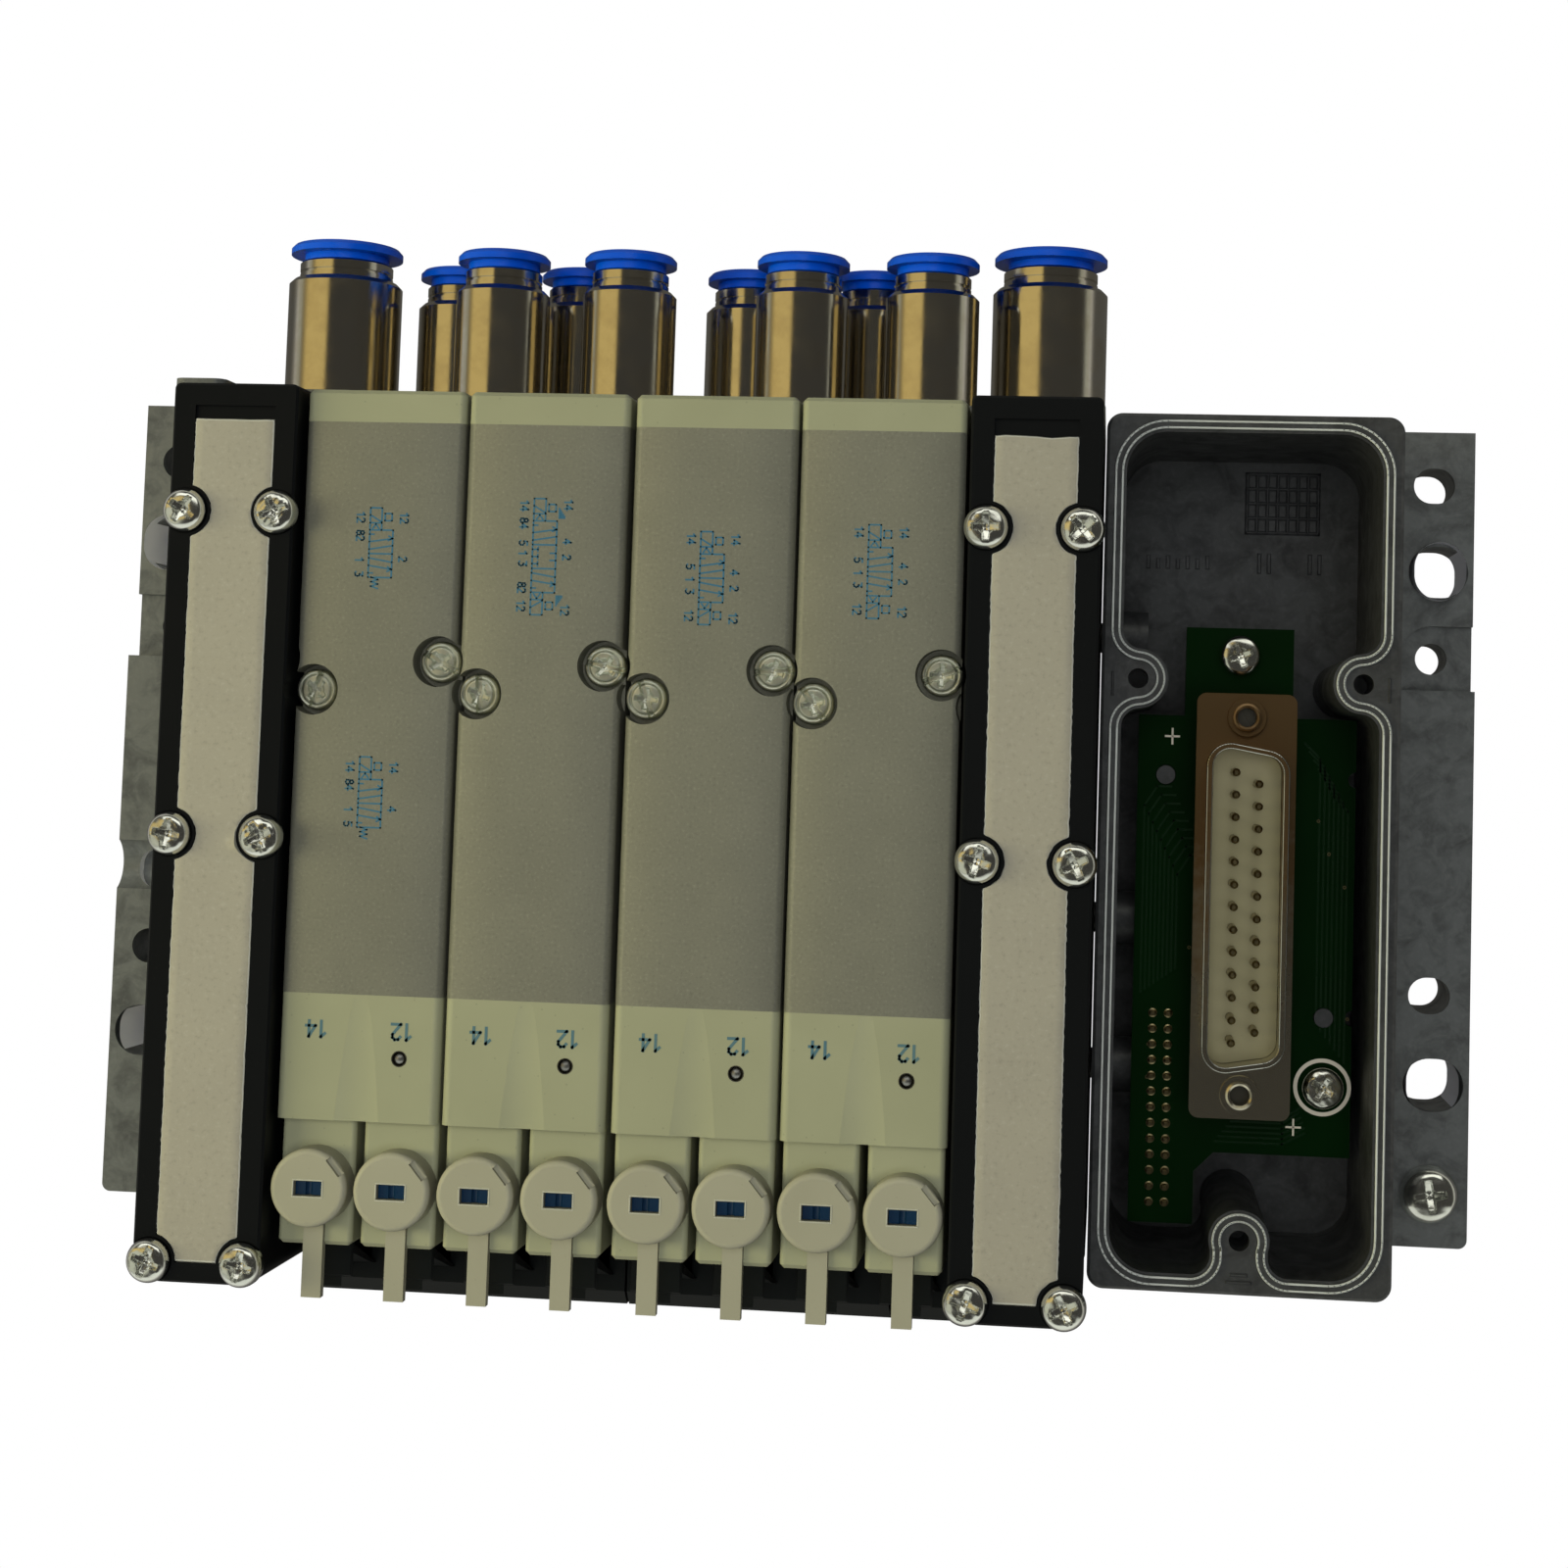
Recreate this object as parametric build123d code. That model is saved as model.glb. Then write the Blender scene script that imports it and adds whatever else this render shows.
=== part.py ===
from build123d import *
import os

# Pneumatic valve island: four slice valves on two twin sub-bases, between two supply plates, two cast
# end plates and an open multi-pin connector housing. Millimetres. +X runs along the row of valves,
# +Y points out of the tube fittings, +Z is up, and the origin is the centre of the four main fixing
# holes on the plane that the island stands on.

os.makedirs("parts", exist_ok=True)

# ---- the row of blocks along X ----
valve_pitch = 21.0
valve_gap = 0.4            # air between neighbouring valves
valves_per_base = 2
base_count = 2
block_gap = 0.3            # thickness of the squeezed seal between two blocks
supply_width = 16.4
housing_width = 36.8
left_wall_width = 7.0
left_flange_reach = 14.8
right_flange_reach = 14.0

# ---- heights ----
foot_clearance = 0.5       # the blocks hang this far above the mounting plane
base_top = 29.0
gasket_thickness = 0.3
valve_height = 24.7
supply_block_top = 34.0
supply_step = 2.0          # the supply covers stand this far above the valves
left_wall_height = 38.0
flange_low = 10.0          # flange thickness beside the ports
flange_high = 12.7         # flange thickness under the electrical end
housing_rim_drop = 5.0     # connector housing rim below the valve tops

# ---- depths along Y ----
valve_front_y = 51.6       # front faces of the end caps
port_reach = 2.9           # the blocks' port faces stand in front of the valves
valve_body_length = 71.9
end_cap_length = 4.1
pilot_length = 15.6
solenoid_length = 15.7
module_reach = 8.9         # electronics module past the solenoids
module_face_gap = 0.3      # between the sub-base's end and the electronics module
cover_back_step = 4.2      # the supply covers end in front of the modules' back
supply_back_step = 3.9     # and the supply blocks in front of their covers
cover_front_reach = 0.3    # supply covers past the valves
housing_front_step = 0.5   # the connector housing starts behind the valves' front
housing_back_step = 7.7    # and ends in front of the electronics modules' back
left_flange_front_reach = 0.7   # flanges past the port faces and past the connector housing
left_flange_back_reach = 1.0
right_flange_front_reach = 0.0
right_flange_back_reach = -0.2

# ---- fixing holes in the flanges ----
main_hole_pitch = 70.0
main_slot_length = 8.1
main_slot_width = 7.1
main_hole_inset = 4.8      # from the flange's outer edge
small_slot_length = 5.6
small_slot_width = 4.9
small_hole_inset = 5.5
small_hole_y = 12.0        # mid point of the two small holes
earth_hole_radius = 2.15
earth_hole_y = 23.0
earth_recess_radius = 4.5
earth_recess_depth = 1.2
end_screw_inset = 5.2      # from the flange's outer edge
end_screw_back = 7.2       # from its back edge
groove_y = -11.5           # cross groove in the left flange
groove_radius = 4.0
groove_depth = 2.0

# ---- air channels ----
channel_z = 14.0
channel_radius = 5.5
pilot_channel_inset = 4.4  # from the back end of the valve body
pilot_exhaust_pitch = 13.5
exhaust_supply_pitch = 25.0
pilot_channel_z = 11.0
pilot_channel_radius = 2.0
riser_radius = 1.8
valve_slot_length = 13.0   # cross slots in the valve's seat
valve_slot_width = 3.6
valve_slot_depth = 1.5
work_inset = 8.1           # first working riser from the valve's front
work_pitch = 8.0
blind_wall = 2.5           # closes the channels at the outer side of a supply block
passage_ratio = 0.72       # passage behind a port, as a share of its thread

# ---- spools ----
spool_radius = 5.4
spool_clearance = 0.05
spool_axis_height = 12.6   # above the valve's seat
spool_waist_radius = 3.2
land_length = 4.4
spool_end_gap = 4.0
spool_travel = 2.5         # each way from the middle
spool_mid_gap = 9.0        # between the two short spools of the first valve

# ---- screws ----
valve_screw_inset = 2.35   # from the valve's side
right_screw_step = 1.1     # screws behind the supply channel
left_screw_step = 5.0
valve_head_radius = 2.6
valve_head_height = 2.2
valve_recess_radius = 3.2
valve_recess_depth = 3.4
screw_radius = 1.5
screw_clearance = 0.15
screw_bite = 6.0           # thread in the part below
cross_width = 0.75
cross_depth = 1.1
supply_head_radius = 2.75
supply_head_height = 2.1
supply_screw_pitch = 11.8
supply_screw_front = 16.3  # first row from the cover's front
supply_screw_middle = 57.0
supply_screw_back = 2.6    # last row from the cover's back
column_wall = 1.4          # round a screw inside the supply cover
supply_notch_radius = 3.3
end_head_radius = 3.75
end_head_height = 2.8
end_screw_radius = 2.0

# ---- supply covers ----
cover_wall = 1.8
cover_side_gap = 0.1
cover_roof = 3.6
label_width = 10.3
label_thickness = 0.35
label_pocket_depth = 0.4
label_front_inset = 2.9
label_back_inset = 2.5

# ---- push-in fittings: (axis height, body radius, tube radius, stem radius) ----
large_fitting = {"z": 14.0, "body": 8.0, "tube": 5.0, "stem": 6.55}
small_fitting = {"z": 8.3, "body": 6.5, "tube": 4.0, "stem": 4.85}
fitting_row_step = 12.8    # upper row above the lower row
fitting_offset = 9.0       # zigzag pitch along X
large_body_length = 18.2
small_body_length = 16.0
stem_length = 7.0
collar_gap = 0.15          # between the fitting's shoulder and the block
neck_ratio = 0.82
neck_length = 2.6
groove_cut = 0.25
tube_clearance = 0.1
ring_wall = 0.85
ring_fit = 0.05            # radial running clearance of the release ring
ring_flange = 1.35
ring_edge = 0.5
tube_stop_depth = 17.0     # how deep a tube goes in
ring_gap = 1.0             # travel room under the ring's flange
ring_depth = 5.5
guide_depth = 6.8          # room under the ring's sleeve
thread_clearance = 0.05
shoulder_chamfer = 0.7

# ---- manual overrides ----
solenoid_gap = 1.0
solenoid_floor_z = 38.0
solenoid_drop = 2.0        # top of the solenoid housings below the valve tops
override_inset = 7.5       # from the solenoid's back end
cap_radius = 4.85
cap_height = 3.7
cap_round = 0.7
window_length = 3.55
window_width = 1.86
tab_width = 2.5
tab_height = 1.2
tab_reach = 6.4            # past the solenoid's end
button_clearance = 0.08
button_recess = 0.7
button_radius = 1.3
button_depth = 5.0
button_travel = 1.2
pilot_valley_radius = 14.0 # hollow between the pilot housing's two lobes
pilot_valley_depth = 0.15
pilot_valley_tilt = 1.0
indicator_inset = 7.9      # from the pilot housing's back end
indicator_radius = 1.0

# ---- electronics modules ----
module_floor_z = 3.0
module_rib_pitch = 5.25
module_rib = 1.3
module_pocket_depth = 1.2
module_pocket_edge = 3.2   # plain strip above and below the two rows of pockets
module_pocket_bar = 3.0    # between the rows
module_pocket_height = 10.8  # of the upper row

# ---- connector housing ----
rim_wall = 2.6
cavity_depth = 31.0
cavity_corner = 5.0
housing_corner = 2.0
ear_radius = 3.7
ear_inset = 4.6            # ear hole from the housing's side
ear_depth = 33.2           # ear hole from the housing's front
ear_blend = 2.4
boss_inset = 6.6           # back hole from the housing's back
boss_neck = 7.0
cover_hole_radius = 1.25
cover_hole_depth = 9.0
lip_width = 0.8
lip_height = 0.5
lip_inset = 0.5
rod_boss_radius = 3.6
rod_boss_length = 6.0

# ---- circuit board and connector ----
board_top_z = 34.0
board_thickness = 1.6
board_margin = 5.0         # board edge from the housing's side
board_right_margin = 3.9
board_front_depth = 25.9   # board's tongue from the housing's front
board_wide_depth = 37.4
board_back_inset = 14.9    # from the housing's back
board_tail_inset = 5.7
board_tongue = (-7.5, 6.3)  # narrow front part, from the housing's centre line
board_tail_width = 8.2
board_hole_inset = 3.6     # screws and pegs from the board's edges
board_screw_step = 8.8     # right screw from the board's back edge, and the right peg as far again
board_peg_step = 7.7       # left peg from the wide part's front edge
board_notch_radius = 1.0
peg_radius = 1.2
standoff_radius = 3.0
connector_offset = 7.1     # connector behind the housing's middle
shell_face_z = 42.5
flange_length = 53.04
flange_width = 12.5
shell_length = 41.2
shell_width = 9.9
shell_wall = 0.5
shell_height = 5.9
shell_sheet = 0.8
jack_pitch = 47.04
jack_radius = 2.4
jack_hole_radius = 1.2
pin_pitch = 2.77
pin_row_gap = 2.84
pin_radius = 0.5
pin_height = 5.0
long_row_count = 13
header_pitch = 2.0
header_inset = 2.6         # first contact from the board's two edges
header_rows = 13
header_pin = 0.5

# ---- underside of the right end plate ----
base_screw_pitch = 26.0
base_screw_offset = 1.1    # middle screw behind the housing's middle
base_screw_seat = 3.0
base_screw_length = 13.0
tray_rib = 4.0
tray_roof = 3.2

# ---- undersides of the sub-bases, supply blocks and left end plate ----
base_pocket_depth = 5.5
base_rib = 6.0
supply_pocket_depth = 20.5
pocket_wall = 3.0
left_pocket_depth = 7.0
left_pocket_rib = 10.0

# ---- tie rods ----
rod_z = 24.0
rod_front_step = 5.5       # front rod past the supply channel
rod_back_inset = 7.5       # back rod from the pilot housing's back end
rod_radius = 2.0
rod_head_radius = 3.5
rod_head_height = 3.0

# ---- worked out from the above ----
valve_width = valve_pitch - valve_gap
base_width = valves_per_base * valve_pitch
island_width = (left_flange_reach + left_wall_width + 2 * supply_width + base_count * base_width
                + housing_width + right_flange_reach + (base_count + 3) * block_gap)
left_edge = -island_width / 2
right_edge = island_width / 2
wall_x = left_edge + left_flange_reach
left_supply_x = wall_x + left_wall_width + block_gap
base_x = [left_supply_x + supply_width + block_gap + i * (base_width + block_gap) for i in range(base_count)]
right_supply_x = base_x[-1] + base_width + block_gap
housing_x = right_supply_x + supply_width + block_gap
housing_mid = housing_x + housing_width / 2
supply_x = [left_supply_x, right_supply_x]
valve_x = [x + (j + 0.5) * valve_pitch for x in base_x for j in range(valves_per_base)]

seat_z = base_top + gasket_thickness
valve_top = seat_z + valve_height
module_top = solenoid_floor_z - module_face_gap
supply_top = valve_top + supply_step
rim_z = valve_top - housing_rim_drop
solenoid_top = valve_top - solenoid_drop
port_face_y = valve_front_y + port_reach
body_front_y = valve_front_y - end_cap_length
body_back_y = body_front_y - valve_body_length
pilot_back_y = body_back_y - pilot_length
solenoid_back_y = pilot_back_y - solenoid_length
module_back_y = solenoid_back_y - module_reach
module_front_y = pilot_back_y - module_face_gap
cover_front_y = valve_front_y + cover_front_reach
cover_back_y = module_back_y + cover_back_step
supply_back_y = cover_back_y + supply_back_step
pilot_channel_y = body_back_y + pilot_channel_inset
exhaust_channel_y = pilot_channel_y + pilot_exhaust_pitch
supply_channel_y = exhaust_channel_y + exhaust_supply_pitch
work_a_y = valve_front_y - work_inset
work_b_y = work_a_y - work_pitch
right_screw_y = supply_channel_y - right_screw_step
left_screw_y = supply_channel_y - left_screw_step
supply_screw_rows = (cover_front_y - supply_screw_front, cover_front_y - supply_screw_middle,
                     cover_back_y + supply_screw_back)
override_y = solenoid_back_y + override_inset
indicator_y = pilot_back_y + indicator_inset
rod_rows = (supply_channel_y + rod_front_step, (exhaust_channel_y + pilot_channel_y) / 2,
            pilot_back_y + rod_back_inset)
housing_front_y = valve_front_y - housing_front_step
housing_back_y = module_back_y + housing_back_step
housing_mid_y = (housing_front_y + housing_back_y) / 2
left_flange_front_y = port_face_y + left_flange_front_reach
left_flange_back_y = housing_back_y - left_flange_back_reach
right_flange_front_y = port_face_y + right_flange_front_reach
right_flange_back_y = housing_back_y - right_flange_back_reach
end_screw_y = right_flange_back_y + end_screw_back
ear_y = housing_front_y - ear_depth
boss_y = housing_back_y + boss_inset
connector_y = housing_mid_y - connector_offset
base_screw_rows = [housing_mid_y - base_screw_offset + i * base_screw_pitch for i in (-1, 0, 1)]
board_left_x = housing_x + board_margin
board_right_x = housing_x + housing_width - board_right_margin
board_front_y = housing_front_y - board_front_depth
board_wide_y = housing_front_y - board_wide_depth
board_back_y = housing_back_y + board_back_inset
board_tail_y = housing_back_y + board_tail_inset
board_screws = ((housing_mid + sum(board_tongue) / 2, board_front_y - board_hole_inset),
                (board_right_x - board_hole_inset, board_back_y + board_screw_step))
board_pegs = ((board_left_x + board_hole_inset, board_wide_y - board_peg_step),
              (board_right_x - board_hole_inset, board_back_y + 2 * board_screw_step))
spool_z = seat_z + spool_axis_height
spool_bore = spool_radius + spool_clearance
upper_z = small_fitting["z"] + fitting_row_step
solenoid_width = (valve_pitch / 2) - solenoid_gap
port_rows = (work_a_y, work_b_y, supply_channel_y, exhaust_channel_y, pilot_channel_y)


# ---- helpers ----
def block(x0, x1, y0, y1, z0, z1):
    """Rectangular block between two corners."""
    middle = Pos((x0 + x1) / 2, (y0 + y1) / 2, (z0 + z1) / 2)
    return middle * Box(abs(x1 - x0), abs(y1 - y0), abs(z1 - z0))


def rod_along_z(x, y, z0, z1, radius):
    return Pos(x, y, (z0 + z1) / 2) * Cylinder(radius, z1 - z0)


def rod_along_y(x, z, y0, y1, radius):
    return Pos(x, (y0 + y1) / 2, z) * Rot(90, 0, 0) * Cylinder(radius, y1 - y0)


def rod_along_x(y, z, x0, x1, radius):
    return Pos((x0 + x1) / 2, y, z) * Rot(0, 90, 0) * Cylinder(radius, x1 - x0)


def slot_cut(x, y, z0, z1, length, width):
    """Round-ended slot, long side along X."""
    return extrude(Pos(x, y, z0) * SlotOverall(length, width), z1 - z0)


def turned(*profile):
    """Solid of revolution about Z from (radius, height) points."""
    return revolve(Plane.XZ * make_face(Polyline(*profile, close=True)), Axis.Z)


def save(node, *solids):
    """Writes one node as one solid, or as a group of separate solids."""
    shape = solids[0] if len(solids) == 1 else Compound(children=list(solids))
    export_step(shape, f"parts/{node}.step")


def cross_screw(head_radius, head_height, shank_radius, length):
    """Pan-head screw with a cross recess: seat at z = 0, shank downwards."""
    crown = head_radius * 0.62
    body = turned((0, -length), (shank_radius, -length), (shank_radius, 0), (head_radius, 0),
                  (head_radius, head_height * 0.5), (crown, head_height), (0, head_height))
    for turn in (45, 135):
        body -= Pos(0, 0, head_height) * Rot(0, 0, turn) * Box(crown * 2, cross_width, cross_depth * 2)
    return body


# ---- end plates ----
def end_flange(inner_x, outer_x, front_y, back_y):
    """Cast fixing flange: two thicknesses, fixing slots, and a recessed earth hole."""
    outward = 1 if outer_x > inner_x else -1
    step_y = earth_hole_y - earth_recess_radius
    flange = block(inner_x, outer_x, step_y, front_y, 0, flange_low)
    flange += block(inner_x, outer_x, back_y, step_y, 0, flange_high)
    corners = flange.edges().filter_by(Axis.Z).group_by(Axis.X)[-1 if outward > 0 else 0]
    flange = fillet(corners.sort_by(Axis.Y)[0], 1.2)
    main_x = outer_x - outward * main_hole_inset
    small_x = outer_x - outward * small_hole_inset
    for y in (main_hole_pitch / 2, -main_hole_pitch / 2):
        flange -= slot_cut(main_x, y, -1, flange_high + 1, main_slot_length, main_slot_width)
    for y in (small_hole_y + main_hole_pitch / 2, small_hole_y - main_hole_pitch / 2):
        flange -= slot_cut(small_x, y, -1, flange_high + 1, small_slot_length, small_slot_width)
    recess_z = flange_low - earth_recess_depth
    flange -= rod_along_z(small_x, earth_hole_y, -1, flange_low + 1, earth_hole_radius)
    flange -= rod_along_z(small_x, earth_hole_y, recess_z, flange_high + 1, earth_recess_radius)
    flange -= block(small_x, outer_x + outward, earth_hole_y - earth_recess_radius,
                    earth_hole_y + earth_recess_radius, recess_z, flange_high + 1)
    return flange


def left_end_plate():
    """Cast wall that the row is clamped against, with its fixing flange and pockets below."""
    inner_x = wall_x + left_wall_width
    wall = block(wall_x, inner_x, left_flange_back_y - 1, left_flange_front_y, 0, left_wall_height)
    wall = fillet(wall.edges().filter_by(Axis.Y).group_by(Axis.Z)[-1], 1.5)
    plate = wall + end_flange(wall_x, left_edge, left_flange_front_y, left_flange_back_y)
    root = plate.edges().filter_by(Axis.Y).filter_by(
        lambda e: abs(e.center().X - wall_x) < 0.01 and flange_low - 0.1 < e.center().Z < flange_high + 0.1)
    plate = fillet(root, 1.0)
    plate -= Pos(0, 0, flange_high + groove_radius - groove_depth) * rod_along_x(
        groove_y, 0, left_edge - 1, wall_x - 1.2, groove_radius)
    for y in rod_rows:
        plate -= rod_along_x(y, rod_z, wall_x - 1, inner_x + 1, rod_radius + screw_clearance)
        plate -= rod_along_x(y, rod_z, wall_x - 1, wall_x + rod_head_height,
                             rod_head_radius + screw_clearance)
    ribs = (left_flange_back_y, -main_hole_pitch / 2, 0, earth_hole_y, left_flange_front_y)
    for near, far in zip(ribs, ribs[1:]):
        plate -= block(wall_x - pocket_wall, inner_x - pocket_wall, near + left_pocket_rib / 2,
                       far - left_pocket_rib / 2, -1, left_pocket_depth)
    return plate


def right_end_plate():
    """Tray under the connector housing, in one piece with its fixing flange."""
    flange_x = housing_x + housing_width
    tray = block(housing_x, flange_x + 0.01, housing_back_y, housing_front_y, 0, flange_high - 0.1)
    plate = tray + end_flange(flange_x, right_edge, right_flange_front_y, right_flange_back_y)
    ribs = [housing_back_y] + base_screw_rows + [housing_front_y]
    for near, far in zip(ribs, ribs[1:]):
        plate -= block(housing_x + tray_rib, flange_x - tray_rib, near + tray_rib, far - tray_rib,
                       -1, flange_high - tray_roof)
    for y in base_screw_rows:
        plate -= rod_along_z(housing_mid, y, 0, flange_high + 1, screw_radius + screw_clearance)
        plate -= rod_along_z(housing_mid, y, -1, base_screw_seat, valve_head_radius + 0.3)
    end_x = right_edge - end_screw_inset
    plate -= rod_along_z(end_x, end_screw_y, 2, flange_high + 1, end_screw_radius + 0.05)
    return plate


# ---- air blocks ----
def cut_channels(body, x0, x1, rows=("supply", "exhaust", "pilot")):
    """Air channels that run through a block along X, and the tie rod holes."""
    if "supply" in rows:
        body -= rod_along_x(supply_channel_y, channel_z, x0, x1, channel_radius)
    if "exhaust" in rows:
        body -= rod_along_x(exhaust_channel_y, channel_z, x0, x1, channel_radius)
    if "pilot" in rows:
        body -= rod_along_x(pilot_channel_y, pilot_channel_z, x0, x1, pilot_channel_radius)
    return body


def cut_rods(body, x0, x1):
    for y in rod_rows:
        body -= rod_along_x(y, rod_z, x0, x1, rod_radius + screw_clearance)
    return body


def cut_port(body, x, z, size, end_y):
    """Stepped port: threaded mouth for the stem, then a passage to the channel."""
    mouth_y = port_face_y - stem_length - 1.0
    body -= rod_along_y(x, z, mouth_y, port_face_y + 1, size["stem"] + thread_clearance)
    body -= rod_along_y(x, z, end_y, mouth_y + 0.1, size["stem"] * passage_ratio)
    return body


def supply_block(side):
    """Cast supply plate: the left one feeds air in, the right one lets the exhaust out."""
    x0 = supply_x[side]
    x1 = x0 + supply_width
    body = block(x0, x1, supply_back_y, port_face_y, foot_clearance, supply_block_top)
    body = fillet(body.edges().filter_by(Axis.Z), 0.8)
    inner = (x0 + blind_wall, x1 + 1) if side == 0 else (x0 - 1, x1 - blind_wall)
    body = cut_channels(body, *inner)
    body = cut_rods(body, x0 - 1, x1 + 1)
    channel_y = supply_channel_y if side == 0 else exhaust_channel_y
    body = cut_port(body, (x0 + x1) / 2, large_fitting["z"], large_fitting, channel_y)
    for x in (-supply_screw_pitch / 2, supply_screw_pitch / 2):
        for y in supply_screw_rows[:2]:
            body -= rod_along_z((x0 + x1) / 2 + x, y, supply_block_top - screw_bite - 0.5,
                                supply_block_top + 1, screw_radius + thread_clearance)
    body -= block(x0 + pocket_wall, x1 - pocket_wall, supply_back_y + base_rib, pilot_back_y,
                  foot_clearance - 1, foot_clearance + supply_pocket_depth)
    return body


def supply_cover(side):
    """Black moulded cover: shell with screw columns, and a pocket for the label strip."""
    mid = supply_x[side] + supply_width / 2
    half = supply_width / 2 - cover_side_gap
    z0 = supply_block_top
    cover = block(mid - half, mid + half, cover_back_y, cover_front_y, z0, supply_top)
    uprights = cover.edges().filter_by(Axis.Z)
    cover = fillet(uprights.group_by(Axis.Y)[0], 2.2)
    cover = fillet(cover.edges().filter_by(Axis.Z).group_by(Axis.Y)[-1], 0.8)
    cover = chamfer(cover.faces().sort_by(Axis.Z)[-1].edges(), 0.3)
    hollow = block(mid - half + cover_wall, mid + half - cover_wall, cover_back_y + cover_wall,
                   cover_front_y - cover_wall, z0 - 1, supply_top - cover_roof)
    screw_x = supply_screw_pitch / 2
    for x in (mid - screw_x, mid + screw_x):
        for y in supply_screw_rows:
            hollow -= rod_along_z(x, y, z0 - 1, supply_top, screw_radius + column_wall)
    hollow -= block(mid - half, mid + half, cover_back_y, supply_back_y + 1, z0 - 1, z0 + 3)
    cover -= hollow
    cover -= label_outline(mid, supply_top - label_pocket_depth, supply_top + 1, 0.05)
    for x in (mid - screw_x, mid + screw_x):
        for y in supply_screw_rows:
            cover -= rod_along_z(x, y, z0 - 1, supply_top + 1, screw_radius + screw_clearance)
            cover -= rod_along_z(x, y, supply_top - label_pocket_depth, supply_top + 1,
                                 supply_head_radius + screw_clearance)
    for x in valve_x:
        cover -= rod_along_z(x - valve_width / 2 + valve_screw_inset, left_screw_y,
                             valve_top - valve_recess_depth, supply_top + 1, valve_recess_radius)
        cover -= rod_along_z(x + valve_width / 2 - valve_screw_inset, right_screw_y,
                             valve_top - valve_recess_depth, supply_top + 1, valve_recess_radius)
    return cover


def label_outline(mid, z0, z1, margin=0.0):
    """Strip with round bites beside the six screws; margin grows it into its pocket."""
    strip = block(mid - label_width / 2 - margin, mid + label_width / 2 + margin,
                  cover_back_y + label_back_inset - margin, cover_front_y - label_front_inset + margin,
                  z0, z1)
    for x in (mid - supply_screw_pitch / 2, mid + supply_screw_pitch / 2):
        for y in supply_screw_rows:
            strip -= rod_along_z(x, y, z0 - 1, z1 + 1, supply_notch_radius - margin)
    return strip


def label_strip(side):
    z0 = supply_top - label_pocket_depth
    return label_outline(supply_x[side] + supply_width / 2, z0, z0 + label_thickness)


def fitting_spots(index):
    """Centres of a sub-base's four fittings: zigzag, first one in the lower row."""
    mid = base_x[index] + base_width / 2
    offsets = [(i - 1.5) * fitting_offset for i in range(2 * valves_per_base)]
    return [(mid + dx, small_fitting["z"] if i % 2 == 0 else upper_z) for i, dx in enumerate(offsets)]


def sub_base(index):
    x0 = base_x[index]
    x1 = x0 + base_width
    body = block(x0, x1, pilot_back_y, port_face_y, foot_clearance, base_top)
    body = chamfer(body.edges().filter_by(Axis.X).group_by(Axis.Y)[-1], 0.5)
    body = cut_channels(body, x0 - 1, x1 + 1)
    body = cut_rods(body, x0 - 1, x1 + 1)
    for i, (x, z) in enumerate(fitting_spots(index)):
        riser_y = work_a_y - 1.5 if i % 2 == 0 else work_b_y
        body = cut_port(body, x, z, small_fitting, riser_y - riser_radius - 0.7)
        body -= rod_along_z(x, riser_y, z, base_top + 1, riser_radius)
    for x in valve_x[index * valves_per_base:(index + 1) * valves_per_base]:
        for y in (supply_channel_y, exhaust_channel_y):
            body -= rod_along_z(x, y, channel_z, base_top + 1, riser_radius)
        body -= rod_along_z(x, pilot_channel_y, pilot_channel_z, base_top + 1, riser_radius)
        for dx, y in ((valve_width / 2 - valve_screw_inset, right_screw_y),
                      (valve_screw_inset - valve_width / 2, left_screw_y)):
            body -= rod_along_z(x + dx, y, base_top - screw_bite - 0.6, base_top + 1,
                                screw_radius + thread_clearance)
    middle = (x0 + x1) / 2
    roof = foot_clearance + base_pocket_depth
    ribs = (pilot_back_y, pilot_channel_y, (exhaust_channel_y + supply_channel_y) / 2, work_b_y)
    for near, far in zip(ribs, ribs[1:]):
        for left in (x0 + pocket_wall, middle + pocket_wall / 2):
            right = left + base_width / 2 - 1.5 * pocket_wall
            body -= block(left, right, near + base_rib / 2, far - base_rib / 2, foot_clearance - 1, roof)
    return body


def electronics_module(index):
    """Black chained connector behind the sub-base, ribbed at the front face."""
    x0 = base_x[index]
    x1 = x0 + base_width
    body = block(x0, x1, module_back_y, module_front_y, module_floor_z, module_top)
    body = chamfer(body.edges().filter_by(Axis.X).group_by(Axis.Y)[0].sort_by(Axis.Z)[-1], 2.0)
    upper = (module_top - module_pocket_edge - module_pocket_height, module_top - module_pocket_edge)
    lower = (module_floor_z + module_pocket_edge, upper[0] - module_pocket_bar)
    pockets = int(base_width / module_rib_pitch)
    half = (module_rib_pitch - module_rib) / 2
    for i in range(pockets):
        x = x0 + (i + 0.5) * base_width / pockets
        for z0, z1 in (upper, lower):
            body -= block(x - half, x + half, module_back_y - 1, module_back_y + module_pocket_depth, z0, z1)
    return body


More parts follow.
